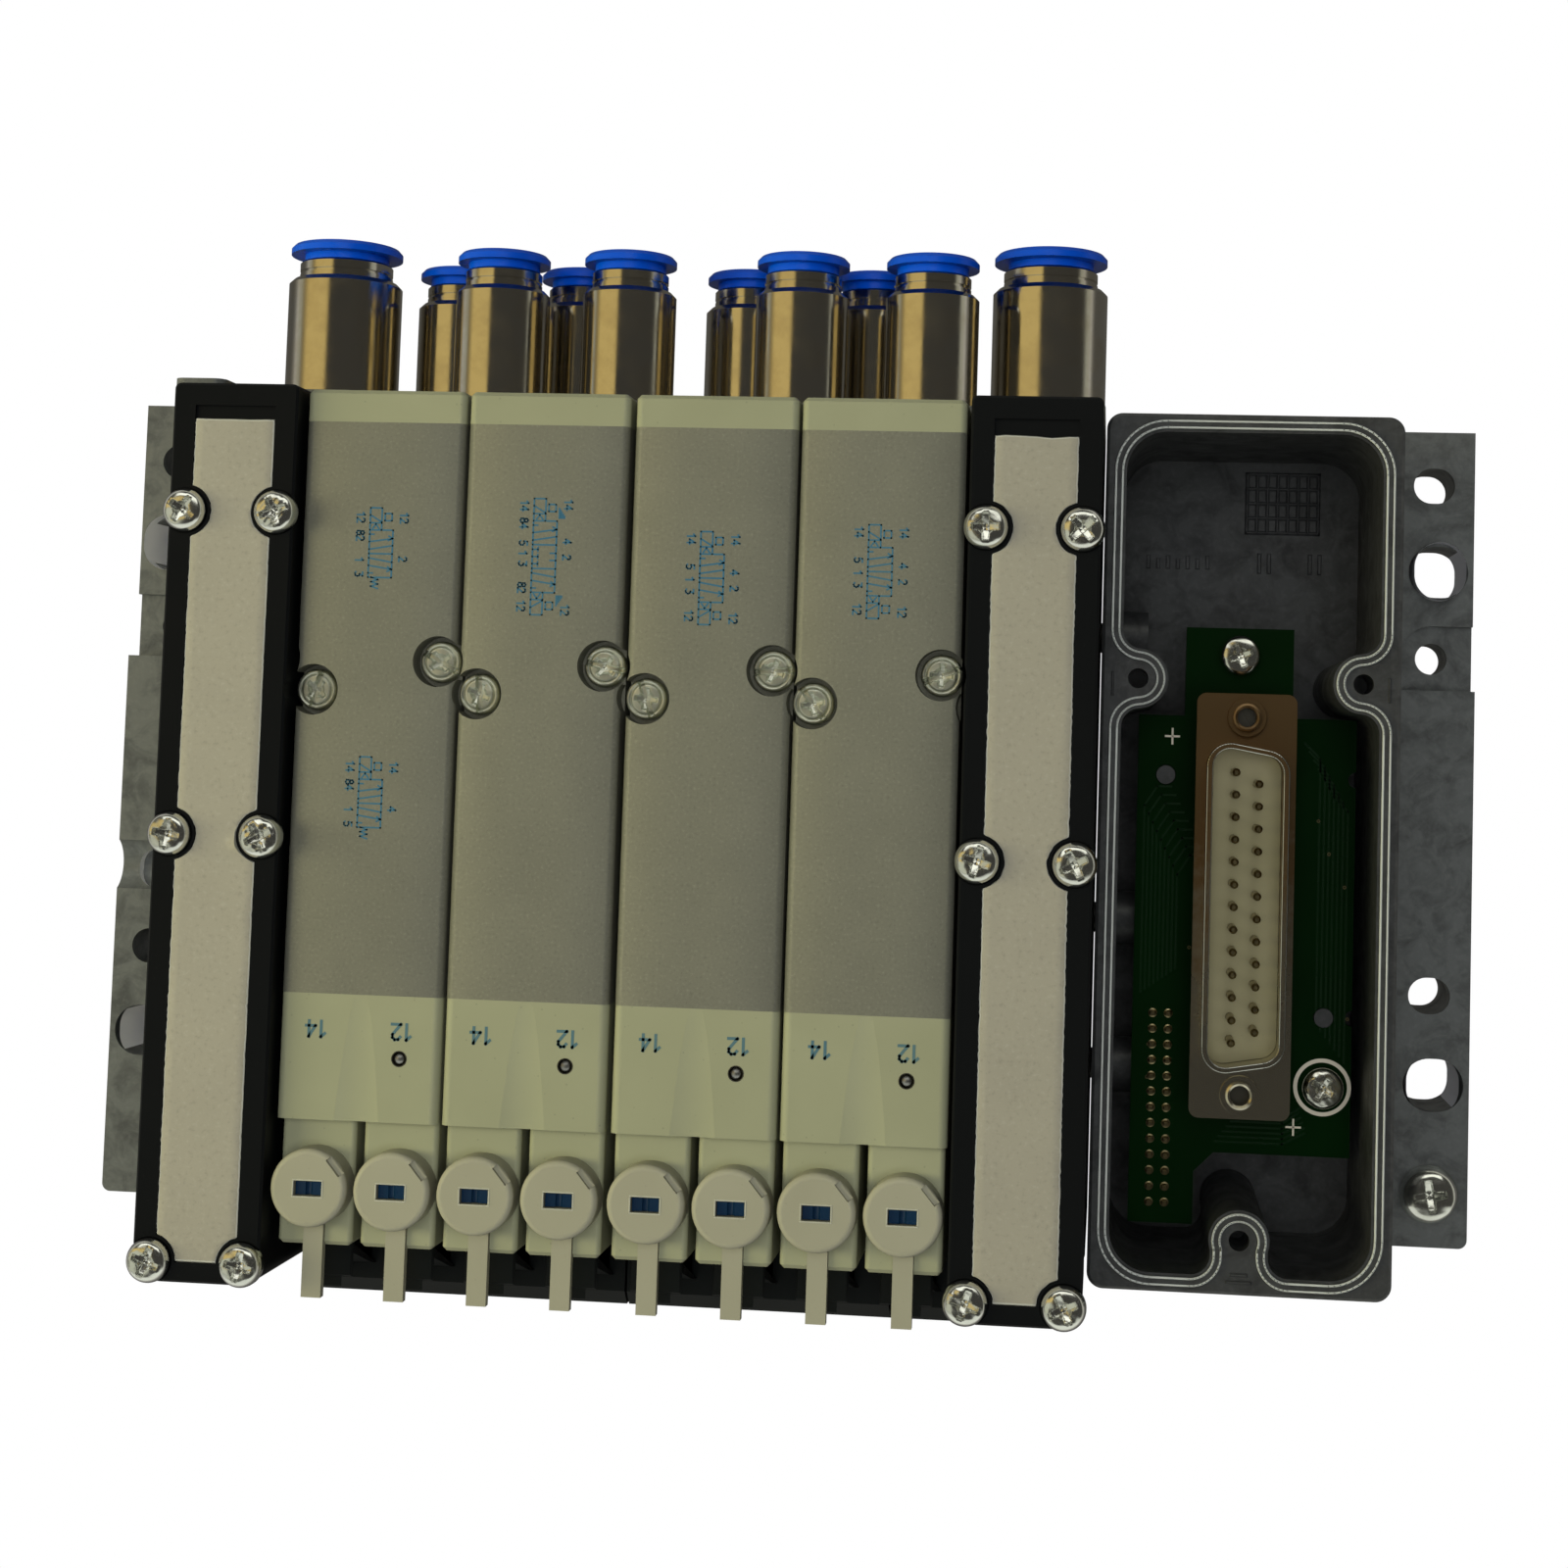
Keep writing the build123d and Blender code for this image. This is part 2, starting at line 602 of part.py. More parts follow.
# ---- valves ----
def valve_body(number):
    """Extruded slice: spool bore end to end, port slots below, screw recesses above."""
    x = valve_x[number]
    half = valve_width / 2
    body = block(x - half, x + half, body_back_y, body_front_y, seat_z, valve_top)
    body = fillet(body.edges().filter_by(Axis.Y).group_by(Axis.Z)[-1], 0.9)
    body -= rod_along_y(x, spool_z, body_back_y - 1, body_front_y + 1, spool_bore)
    for y in port_rows:
        body -= slot_cut(x, y, seat_z - 1, seat_z + valve_slot_depth, valve_slot_length, valve_slot_width)
        body -= rod_along_z(x, y, seat_z, spool_z, riser_radius)
    for shift in (-valve_pitch, 0, valve_pitch):
        for dx, y in ((half - valve_screw_inset, right_screw_y), (valve_screw_inset - half, left_screw_y)):
            spot = x + shift + dx
            body -= rod_along_z(spot, y, valve_top - valve_recess_depth, valve_top + 1, valve_recess_radius)
            if shift == 0:
                body -= rod_along_z(spot, y, seat_z - 1, valve_top, screw_radius + screw_clearance)
    return body


def end_cap(number):
    """White cap that closes the spool bore at the port side, with a shallow stop boss inside."""
    x = valve_x[number]
    half = valve_width / 2
    cap = block(x - half, x + half, body_front_y, valve_front_y, seat_z, valve_top)
    cap = fillet(cap.edges().filter_by(Axis.Y).group_by(Axis.Z)[-1], 0.9)
    cap = chamfer(cap.faces().sort_by(Axis.Y)[-1].edges().filter_by(Axis.X), 0.5)
    cap += rod_along_y(x, spool_z, body_front_y - 1.0, body_front_y + 0.1, spool_radius - 1.5)
    for dx in (-half + 3.2, half - 3.2):
        for z in (seat_z + 3.5, valve_top - 3.5):
            cap -= rod_along_y(x + dx, z, valve_front_y - 1.2, valve_front_y + 1, 1.6)
    return cap


def pilot_housing(number):
    """White pilot block: two soft lobes with a valley between them, and an indicator well."""
    x = valve_x[number]
    half = valve_width / 2
    body = block(x - half, x + half, pilot_back_y, body_back_y, seat_z, valve_top)
    body = fillet(body.edges().filter_by(Axis.Y).group_by(Axis.Z)[-1], 1.1)
    valley_z = valve_top + pilot_valley_radius - pilot_valley_depth
    body -= Pos(x, (pilot_back_y + body_back_y) / 2, valley_z) * Rot(90 + pilot_valley_tilt, 0, 0) * Cylinder(
        pilot_valley_radius, pilot_length * 2)
    body -= rod_along_z(x + half / 2, indicator_y, valve_top - 1.5, valve_top + 1, indicator_radius)
    body += rod_along_y(x, spool_z, body_back_y - 0.1, body_back_y + 1.0, spool_radius - 1.5)
    return body


def solenoid(x):
    """White solenoid housing with a guide bore for the override button and a tab groove."""
    half = solenoid_width / 2
    body = block(x - half, x + half, solenoid_back_y, pilot_back_y, solenoid_floor_z, solenoid_top)
    body = fillet(body.edges().filter_by(Axis.Y).group_by(Axis.Z)[-1], 0.7)
    body = chamfer(body.edges().filter_by(Axis.X).group_by(Axis.Y)[0].sort_by(Axis.Z)[-1], 0.5)
    body -= rod_along_z(x, override_y, solenoid_top - button_depth - button_travel - 0.6, solenoid_top + 1,
                        button_radius + 0.05)
    groove = tab_width / 2 + 0.05
    body -= block(x - groove, x + groove, solenoid_back_y - 1, override_y - cap_radius + 0.65,
                  solenoid_top - tab_height / 2, solenoid_top + 1)
    return body


def override_spots():
    """Centre lines of the eight manual overrides, two to a valve."""
    return [x + dx for x in valve_x for dx in (-valve_pitch / 4, valve_pitch / 4)]


def override_cover(x):
    """Round snap cover with a window for the button, a tool notch, and a tail that hooks over the end."""
    z0 = solenoid_top
    cap = rod_along_z(x, override_y, z0, z0 + cap_height, cap_radius)
    cap = fillet(cap.edges().sort_by(Axis.Z)[-1], cap_round)
    tail_end = solenoid_back_y - tab_reach
    cap += block(x - tab_width / 2, x + tab_width / 2, tail_end, override_y - cap_radius + 0.6,
                 z0 - tab_height / 2, z0 + tab_height / 2)
    cap -= block(x - window_length / 2, x + window_length / 2, override_y - window_width / 2,
                 override_y + window_width / 2, z0 - 1, z0 + cap_height + 1)
    notch = Pos(x, override_y, z0 + cap_height) * Rot(0, 0, 40) * Pos(cap_radius - 0.55, 0, 0)
    cap -= notch * Box(0.75, 2.6, 1.2)
    return cap


def override_button(x):
    """Blue button: blade in the cover's window, grooved across, on a round stem."""
    z0 = solenoid_top
    blade_x = window_length / 2 - button_clearance
    blade_y = window_width / 2 - button_clearance
    top = z0 + cap_height - button_recess
    button = block(x - blade_x, x + blade_x, override_y - blade_y, override_y + blade_y,
                   z0 + button_travel + 0.3, top)
    button += rod_along_z(x, override_y, z0 - button_depth, z0 + button_travel + 0.4, button_radius)
    button -= rod_along_y(x, top + 0.1, override_y - 2, override_y + 2, 0.45)
    stem_limit = window_width / 2 - button_clearance
    trim = block(x - 3, x + 3, override_y - 3, override_y + 3, z0 - 0.2, z0 + button_travel + 0.4)
    trim -= block(x - 3, x + 3, override_y - stem_limit, override_y + stem_limit, z0 - 1, z0 + 3)
    return button - trim


def spool(x, y0, y1, lands):
    """Turned spool with evenly spaced lands between two thin waists."""
    length = y1 - y0
    step = (length - land_length) / (lands - 1)
    profile = [(0, 0)]
    for i in range(lands):
        start = i * step
        profile += [(spool_radius, start), (spool_radius, start + land_length)]
        if i < lands - 1:
            profile += [(spool_waist_radius, start + land_length), (spool_waist_radius, start + step)]
    profile.append((0, length))
    return Pos(x, y0, spool_z) * Rot(-90, 0, 0) * turned(*profile)


def gasket(number):
    """Flat seal under a valve, with a slot for each port."""
    x = valve_x[number]
    half = valve_width / 2 - 0.6
    seal = block(x - half, x + half, pilot_back_y + 0.8, valve_front_y - 0.8, base_top, seat_z)
    for y in port_rows:
        seal -= slot_cut(x, y, base_top - 1, seat_z + 1, valve_slot_length, valve_slot_width)
    for dx, y in ((valve_width / 2 - valve_screw_inset, right_screw_y),
                  (valve_screw_inset - valve_width / 2, left_screw_y)):
        seal -= rod_along_z(x + dx, y, base_top - 1, seat_z + 1, screw_radius + screw_clearance)
    return seal


def block_seal(x):
    """Flat seal in a joint between two blocks, with holes for the channels and the tie rods."""
    seal = block(x, x + block_gap, pilot_back_y + 2, valve_front_y - 16, foot_clearance + 1.5, base_top - 0.8)
    seal = cut_channels(seal, x - 1, x + 2)
    return cut_rods(seal, x - 1, x + 2)


# ---- push-in fittings ----
def ring_seat(size, body_length):
    """Outer radius of the ring's sleeve, and how far the neck's end stands from the port face."""
    return size["tube"] + tube_clearance + ring_wall, collar_gap + body_length + neck_length


def fitting_body(x, z, size, body_length):
    """Turned body: stem in the block, barrel, stepped neck, ring guide, tube seat and hexagon passage."""
    ring_outer, top = ring_seat(size, body_length)
    neck = size["body"] * neck_ratio
    shoulder = collar_gap + body_length
    guide = ring_outer + ring_fit
    seat = size["tube"] + 0.05
    passage = size["tube"] * 0.62
    stop = top - tube_stop_depth
    body = turned((0, -stem_length), (size["stem"], -stem_length), (size["stem"], collar_gap),
                  (size["body"], collar_gap), (size["body"], shoulder - shoulder_chamfer),
                  (size["body"] - shoulder_chamfer, shoulder), (neck, shoulder),
                  (neck, shoulder + 0.8), (neck - groove_cut, shoulder + 0.8),
                  (neck - groove_cut, shoulder + 1.2), (neck, shoulder + 1.2),
                  (neck, top - 0.3), (neck - 0.3, top), (guide, top),
                  (guide, top - guide_depth), (seat, top - guide_depth), (seat, stop), (0, stop))
    body -= Pos(0, 0, -stem_length - 1) * extrude(RegularPolygon(passage, 6), stop + stem_length + 2)
    return Pos(x, port_face_y, z) * Rot(-90, 0, 0) * body


def release_ring(x, z, size, body_length):
    """Blue ring: a flange outside the neck and a sleeve that slides in the ring guide."""
    ring_outer, top = ring_seat(size, body_length)
    ring_inner = ring_outer - ring_wall
    flange_radius = size["body"] * 0.985
    base = top + ring_gap
    ring = turned((ring_inner, top - ring_depth), (ring_outer, top - ring_depth), (ring_outer, base),
                  (flange_radius, base), (flange_radius, base + ring_flange * 0.6),
                  (flange_radius - ring_edge, base + ring_flange),
                  (ring_inner + ring_edge, base + ring_flange), (ring_inner, base + ring_flange * 0.6))
    return Pos(x, port_face_y, z) * Rot(-90, 0, 0) * ring


def fittings():
    """Every fitting of the island: large ones on the supply plates, small ones on the sub-bases."""
    spots = [(x + supply_width / 2, large_fitting["z"], large_fitting, large_body_length) for x in supply_x]
    for index in range(base_count):
        spots += [(x, z, small_fitting, small_body_length) for x, z in fitting_spots(index)]
    return spots


# ---- connector housing ----
def cavity_sketch(grow=0.0):
    """Outline of the open well: a rounded rectangle bitten by two ears and a back boss."""
    x0, x1 = housing_x + rim_wall, housing_x + housing_width - rim_wall
    y0, y1 = housing_back_y + rim_wall - 0.3, housing_front_y - rim_wall + 0.3
    well = Pos((x0 + x1) / 2, (y0 + y1) / 2) * RectangleRounded(x1 - x0, y1 - y0, cavity_corner)
    for x in (housing_x + ear_inset, housing_x + housing_width - ear_inset):
        well -= Pos(x, ear_y) * Circle(ear_radius)
    well -= Pos(housing_mid, boss_y) * Circle(ear_radius)
    well -= Pos(housing_mid, (boss_y + housing_back_y) / 2) * Rectangle(boss_neck, boss_y - housing_back_y)
    sharp = well.vertices().filter_by(lambda v: well_corner(v, x0, x1, y0))
    well = fillet(sharp, ear_blend)
    return offset(well, grow) if grow else well


def well_corner(v, x0, x1, y0):
    """True where an ear or the boss meets the well's wall."""
    beside_ear = abs(v.Y - ear_y) < ear_radius and min(abs(v.X - x0), abs(v.X - x1)) < 0.3
    at_boss = abs(v.Y - y0) < 0.3 and abs(abs(v.X - housing_mid) - boss_neck / 2) < 0.3
    return beside_ear or at_boss


def connector_housing():
    """Die-cast open box: deep well with a sealing lip, cover screw ears, board posts and tie rod bosses."""
    x1 = housing_x + housing_width
    z0 = flange_high
    shoulder_z = rim_z - lip_height
    body = block(housing_x, x1, housing_back_y, housing_front_y, z0, shoulder_z)
    body = fillet(body.edges().filter_by(Axis.Z), housing_corner)
    body = chamfer(body.faces().sort_by(Axis.Z)[-1].edges(), 0.4)
    lip = cavity_sketch(lip_inset + lip_width) - cavity_sketch(lip_inset)
    body += extrude(Pos(0, 0, shoulder_z - 0.2) * lip, lip_height + 0.2)
    floor_z = rim_z - cavity_depth
    body -= extrude(Pos(0, 0, floor_z) * cavity_sketch(), cavity_depth + 1)
    under_board = board_top_z - board_thickness
    for x, y in board_screws:
        body += rod_along_z(x, y, floor_z - 0.1, under_board, standoff_radius)
        body -= rod_along_z(x, y, under_board - 8, under_board + 1, screw_radius + thread_clearance)
    for x, y in board_pegs:
        body += rod_along_z(x, y, floor_z - 0.1, board_top_z + 0.3, peg_radius)
    for y in rod_rows:
        body += rod_along_x(y, rod_z, housing_x + 1, housing_x + rod_boss_length, rod_boss_radius)
        body -= rod_along_x(y, rod_z, housing_x - 1, housing_x + rod_boss_length - 1,
                            rod_radius + thread_clearance)
    holes = [(housing_x + ear_inset, ear_y), (x1 - ear_inset, ear_y), (housing_mid, boss_y)]
    for x, y in holes:
        body -= rod_along_z(x, y, rim_z - cover_hole_depth, rim_z + 1, cover_hole_radius)
    for y in base_screw_rows:
        body -= rod_along_z(housing_mid, y, z0 - 1, floor_z - 1.2, screw_radius + thread_clearance)
    return body


def board_outline():
    """Board face: a narrow tongue between the ears, a wide middle and a tail beside the boss."""
    tongue_left, tongue_right = (housing_mid + dx for dx in board_tongue)
    tail = board_left_x + board_tail_width
    return make_face(Polyline(
        (tongue_left, board_front_y), (tongue_right, board_front_y), (tongue_right, board_wide_y),
        (board_right_x, board_wide_y), (board_right_x, board_back_y), (tail + 2.5, board_back_y),
        (tail, board_back_y - 2.5), (tail, board_tail_y), (board_left_x, board_tail_y),
        (board_left_x, board_wide_y), (tongue_left, board_wide_y), close=True))


def header_spots():
    """Two rows of header contacts along the board's left edge, above its tail."""
    x0 = board_left_x + header_inset
    y0 = board_tail_y + header_inset
    return [(x0 + column * header_pitch, y0 + row * header_pitch)
            for column in range(2) for row in range(header_rows)]


def circuit_board():
    z0 = board_top_z - board_thickness
    board = extrude(Pos(0, 0, z0) * board_outline(), board_thickness)
    for x, y in board_screws:
        board -= rod_along_z(x, y, z0 - 1, board_top_z + 1, screw_radius + screw_clearance)
    for x, y in board_pegs:
        board -= rod_along_z(x, y, z0 - 1, board_top_z + 1, peg_radius + 0.1)
        board -= rod_along_z(board_right_x, y, z0 - 1, board_top_z + 1, board_notch_radius)
    for x, y in header_spots():
        hole = header_pin / 2 + 0.02
        board -= block(x - hole, x + hole, y - hole, y + hole, z0 - 1, board_top_z + 1)
    return board


def trapezoid(length, width, corner):
    """Keyed connector outline: long side at the left, ends drawn in by ten degrees."""
    draw_in = width * 0.1763
    half = length / 2
    outline = Polygon((-width / 2, -half), (width / 2, -half + draw_in), (width / 2, half - draw_in),
                      (-width / 2, half), align=None)
    return fillet(outline.vertices(), corner)


def at_connector(z):
    return Pos(housing_mid, connector_y, z)


def connector_shell():
    """Pressed shell: flange with two jack nuts and a keyed collar round the contacts."""
    z0 = shell_face_z - shell_sheet
    shell = extrude(at_connector(z0) * RectangleRounded(flange_width, flange_length, 1.2), shell_sheet)
    shell += extrude(at_connector(shell_face_z) * trapezoid(shell_length, shell_width, 2.8), shell_height)
    opening = trapezoid(shell_length - 2 * shell_wall, shell_width - 2 * shell_wall, 2.3)
    shell -= extrude(at_connector(z0 - 1) * opening, shell_height + shell_sheet + 2)
    for y in (-jack_pitch / 2, jack_pitch / 2):
        shell += at_connector(0) * rod_along_z(0, y, board_top_z, shell_face_z + 0.5, jack_radius)
        shell -= at_connector(0) * rod_along_z(0, y, board_top_z + 1, shell_face_z + 2, jack_hole_radius)
    return shell


def connector_insulator():
    """Ivory insulator: rear body on the board and a keyed front that fills the shell's foot."""
    rear_length = jack_pitch - 2 * jack_radius - 0.6
    rear_top = shell_face_z - shell_sheet
    body = extrude(at_connector(board_top_z) * Rectangle(flange_width - 2, rear_length),
                   rear_top - board_top_z)
    front = trapezoid(shell_length - 2 * shell_wall - 0.1, shell_width - 2 * shell_wall - 0.1, 2.2)
    body += extrude(at_connector(rear_top - 0.1) * front, shell_sheet + 0.4)
    for x, y in contact_spots():
        body -= at_connector(0) * rod_along_z(x, y, board_top_z - 1, shell_face_z + 2, pin_radius + 0.02)
    return body


def contact_spots():
    """Contacts in two staggered rows: thirteen at the left, twelve at the right."""
    spots = []
    for column, count in ((-1, long_row_count), (1, long_row_count - 1)):
        spots += [(column * pin_row_gap / 2, (i - (count - 1) / 2) * pin_pitch) for i in range(count)]
    return spots


def contacts():
    front_z = shell_face_z + 0.3
    solids = []
    for x, y in contact_spots():
        pin = turned((0, board_top_z + 0.1), (pin_radius, board_top_z + 0.1),
                     (pin_radius, front_z + pin_height - 0.4), (pin_radius * 0.5, front_z + pin_height),
                     (0, front_z + pin_height))
        solids.append(at_connector(0) * Pos(x, y, 0) * pin)
    for x, y in header_spots():
        half = header_pin / 2
        solids.append(block(x - half, x + half, y - half, y + half, board_top_z - board_thickness - 4,
                            board_top_z + 1.2))
    return solids


# ---- fasteners ----
def tie_rod(y):
    """Socket-head rod from the left end plate into the connector housing."""
    head = rod_along_x(y, rod_z, wall_x, wall_x + rod_head_height, rod_head_radius)
    end_x = housing_x + rod_boss_length - 1.5
    rod = head + rod_along_x(y, rod_z, wall_x + 0.1, end_x, rod_radius)
    hexagon = Pos(wall_x, y, rod_z) * Rot(0, 90, 0) * extrude(RegularPolygon(1.7, 6), 1.8)
    return rod - hexagon


def valve_screws():
    seat = valve_top - valve_recess_depth
    length = seat - (base_top - screw_bite)
    solids = []
    for x in valve_x:
        for dx, y in ((valve_screw_inset - valve_width / 2, left_screw_y),
                      (valve_width / 2 - valve_screw_inset, right_screw_y)):
            solids.append(Pos(x + dx, y, seat) * cross_screw(valve_head_radius, valve_head_height,
                                                             screw_radius, length))
    return solids


def supply_screws():
    seat = supply_top - label_pocket_depth
    solids = []
    for x in supply_x:
        for dx in (-supply_screw_pitch / 2, supply_screw_pitch / 2):
            for y in supply_screw_rows:
                bites = y > supply_back_y
                tip = supply_block_top - screw_bite if bites else supply_block_top + 0.5
                screw = cross_screw(supply_head_radius, supply_head_height, screw_radius, seat - tip)
                solids.append(Pos(x + supply_width / 2 + dx, y, seat) * screw)
    return solids


def housing_screws():
    """Board screws, the base screws under the housing and the earth screw on the flange."""
    solids = []
    for x, y in board_screws:
        screw = cross_screw(valve_head_radius, valve_head_height, screw_radius, 8.0)
        solids.append(Pos(x, y, board_top_z) * screw)
    for y in base_screw_rows:
        screw = cross_screw(valve_head_radius, valve_head_height, screw_radius, base_screw_length)
        solids.append(Pos(housing_mid, y, base_screw_seat) * Rot(180, 0, 0) * screw)
    end = cross_screw(end_head_radius, end_head_height, end_screw_radius, 9.0)
    solids.append(Pos(right_edge - end_screw_inset, end_screw_y, flange_high) * end)
    return solids


# ---- the nodes ----
save("left_end_plate", left_end_plate())
save("right_end_plate", right_end_plate())
for side, word in enumerate(("left", "right")):
    save(f"supply_block_{word}", supply_block(side))
    save(f"supply_cover_{word}", supply_cover(side))
save("label_strips", label_strip(0), label_strip(1))
for index in range(base_count):
    save(f"sub_base_{index + 1}", sub_base(index))
    save(f"electronics_module_{index + 1}", electronics_module(index))
for number in range(len(valve_x)):
    save(f"valve_body_{number + 1}", valve_body(number))
    save(f"pilot_housing_{number + 1}", pilot_housing(number))
    pair = override_spots()[2 * number:2 * number + 2]
    save(f"solenoid_pair_{number + 1}", *[solenoid(x) for x in pair])
save("valve_end_caps", *[end_cap(n) for n in range(len(valve_x))])
save("valve_gaskets", *[gasket(n) for n in range(len(valve_x))])
save("block_seals", *[block_seal(x - block_gap) for x in base_x + [right_supply_x]])

save("override_covers", *[override_cover(x) for x in override_spots()])
for i, x in enumerate(override_spots()):
    save(f"override_button_{i + 1}", override_button(x))

bore_back = body_back_y + spool_end_gap
bore_front = body_front_y - spool_end_gap
bore_middle = (bore_back + bore_front) / 2
save("spool_1_back", spool(valve_x[0], bore_back, bore_middle - spool_mid_gap / 2, 3))
save("spool_1_front", spool(valve_x[0], bore_middle + spool_mid_gap / 2, bore_front, 3))
save("spool_2", spool(valve_x[1], bore_back, bore_front, 5))
for number in (2, 3):
    resting = spool(valve_x[number], bore_back - spool_travel, bore_front - spool_travel, 5)
    save(f"spool_{number + 1}", resting)

save("fitting_bodies", *[fitting_body(*spot) for spot in fittings()])
for i, spot in enumerate(fittings()):
    save(f"release_ring_{i + 1}", release_ring(*spot))

save("connector_housing", connector_housing())
save("circuit_board", circuit_board())
save("connector_shell", connector_shell())
save("connector_insulator", connector_insulator())
save("contact_pins", *contacts())
save("tie_rods", *[tie_rod(y) for y in rod_rows])
save("valve_screws", *valve_screws())
save("supply_screws", *supply_screws())
save("housing_screws", *housing_screws())
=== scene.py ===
import math
import bpy
import bmesh
import numpy as np
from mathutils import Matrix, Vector


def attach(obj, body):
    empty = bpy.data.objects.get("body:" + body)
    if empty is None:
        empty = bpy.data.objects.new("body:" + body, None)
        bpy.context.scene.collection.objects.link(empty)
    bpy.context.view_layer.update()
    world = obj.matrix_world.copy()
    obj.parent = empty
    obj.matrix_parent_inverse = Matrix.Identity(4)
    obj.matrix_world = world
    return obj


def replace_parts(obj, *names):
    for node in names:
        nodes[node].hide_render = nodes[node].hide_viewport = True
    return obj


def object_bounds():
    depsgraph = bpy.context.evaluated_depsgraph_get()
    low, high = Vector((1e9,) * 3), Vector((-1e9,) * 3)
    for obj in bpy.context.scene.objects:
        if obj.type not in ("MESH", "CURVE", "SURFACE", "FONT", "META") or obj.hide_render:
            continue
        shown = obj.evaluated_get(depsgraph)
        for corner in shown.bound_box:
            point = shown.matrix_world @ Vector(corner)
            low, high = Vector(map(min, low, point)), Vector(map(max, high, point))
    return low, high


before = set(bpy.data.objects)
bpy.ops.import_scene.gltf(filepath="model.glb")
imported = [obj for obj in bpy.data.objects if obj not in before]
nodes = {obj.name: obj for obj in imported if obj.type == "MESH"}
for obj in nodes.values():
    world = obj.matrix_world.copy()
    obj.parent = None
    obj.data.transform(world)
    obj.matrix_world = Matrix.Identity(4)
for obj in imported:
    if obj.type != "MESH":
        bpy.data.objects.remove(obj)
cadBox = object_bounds()
mm = 0.001
print("frame loaded:", len(nodes), "nodes")


# Quads between neighbouring points of a rows x columns grid, wrapped round where the columns close.
def gridFaces(rows, columns, closeColumns=False):
    r = np.arange(rows - 1)
    c = np.arange(columns if closeColumns else columns - 1)
    i, j = [a.ravel() for a in np.meshgrid(r, c, indexing="ij")]
    i1, j1 = i + 1, (j + 1) % columns
    return np.stack([i * columns + j, i1 * columns + j, i1 * columns + j1, i * columns + j1], 1)


# Several (points, faces) shapes as one, their face numbers moved on past the points before them.
def join(*shapes):
    points, faces, start = [], [], 0
    for p, f in shapes:
        points.append(p)
        faces += [[int(k) + start for k in face] for face in f]
        start += len(p)
    return np.concatenate(points), faces


# Puts a shape, given in millimetres in the row frame, into an object that rides on a body.
def meshPiece(name, shape, material, body="island", smooth=35):
    points, faces = shape
    mesh = bpy.data.meshes.new(name)
    mesh.from_pydata((np.asarray(points) * mm).tolist(), [], [list(map(int, f)) for f in faces])
    mesh.validate()
    mesh.materials.append(material)
    piece = bpy.data.objects.new(name, mesh)
    bpy.context.scene.collection.objects.link(piece)
    mesh.shade_smooth()
    if smooth is not None:
        mesh.set_sharp_from_angle(angle=math.radians(smooth))
    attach(piece, body)
    return piece


# A shader node of one kind. Each input is linked if a socket is given and set if a number is.
def addNode(tree, kind, settings=None, **values):
    made = tree.nodes.new("ShaderNode" + kind)
    for key, value in (settings or {}).items():
        setattr(made, key, value)
    for key, value in values.items():
        socket = made.inputs[key.replace("_", " ")]
        if isinstance(value, bpy.types.NodeSocket):
            tree.links.new(value, socket)
        else:
            socket.default_value = value
    return made


# First times (1 - factor) plus second times factor, or another way to blend the two.
def mixColour(tree, factor, first, second, blend="MIX"):
    made = tree.nodes.new("ShaderNodeMix")
    made.data_type, made.blend_type = "RGBA", blend
    for index, value in ((0, factor), (6, first), (7, second)):
        if isinstance(value, bpy.types.NodeSocket):
            tree.links.new(value, made.inputs[index])
        else:
            made.inputs[index].default_value = value
    return made.outputs[2]


# One step of arithmetic on numbers or sockets.
def mathNode(tree, operation, *values, clamp=False):
    made = tree.nodes.new("ShaderNodeMath")
    made.operation, made.use_clamp = operation, clamp
    for index, value in enumerate(values):
        if isinstance(value, bpy.types.NodeSocket):
            tree.links.new(value, made.inputs[index])
        else:
            made.inputs[index].default_value = value
    return made.outputs[0]


# Maps factor from low..high to start..end, clamped.
def ramp(tree, factor, low, high, start=0.0, end=1.0):
    made = addNode(tree, "MapRange", {"clamp": True}, Value=factor)
    for index, value in ((1, low), (2, high), (3, start), (4, end)):
        made.inputs[index].default_value = value
    return made.outputs[0]


# A colour with full alpha.
def rgb(red, green, blue):
    return (red, green, blue, 1.0)


# A shader group with named inputs (name, kind, default) and outputs (name, kind).
def newGroup(name, inputs, outputs):
    group = bpy.data.node_groups.new(name, "ShaderNodeTree")
    for label, kind, value in inputs:
        socket = group.interface.new_socket(label, in_out="INPUT", socket_type="NodeSocket" + kind)
        socket.default_value = value
    for label, kind in outputs:
        group.interface.new_socket(label, in_out="OUTPUT", socket_type="NodeSocket" + kind)
    entry = group.nodes.new("NodeGroupInput")
    leave = group.nodes.new("NodeGroupOutput")
    return group, entry.outputs, leave.inputs


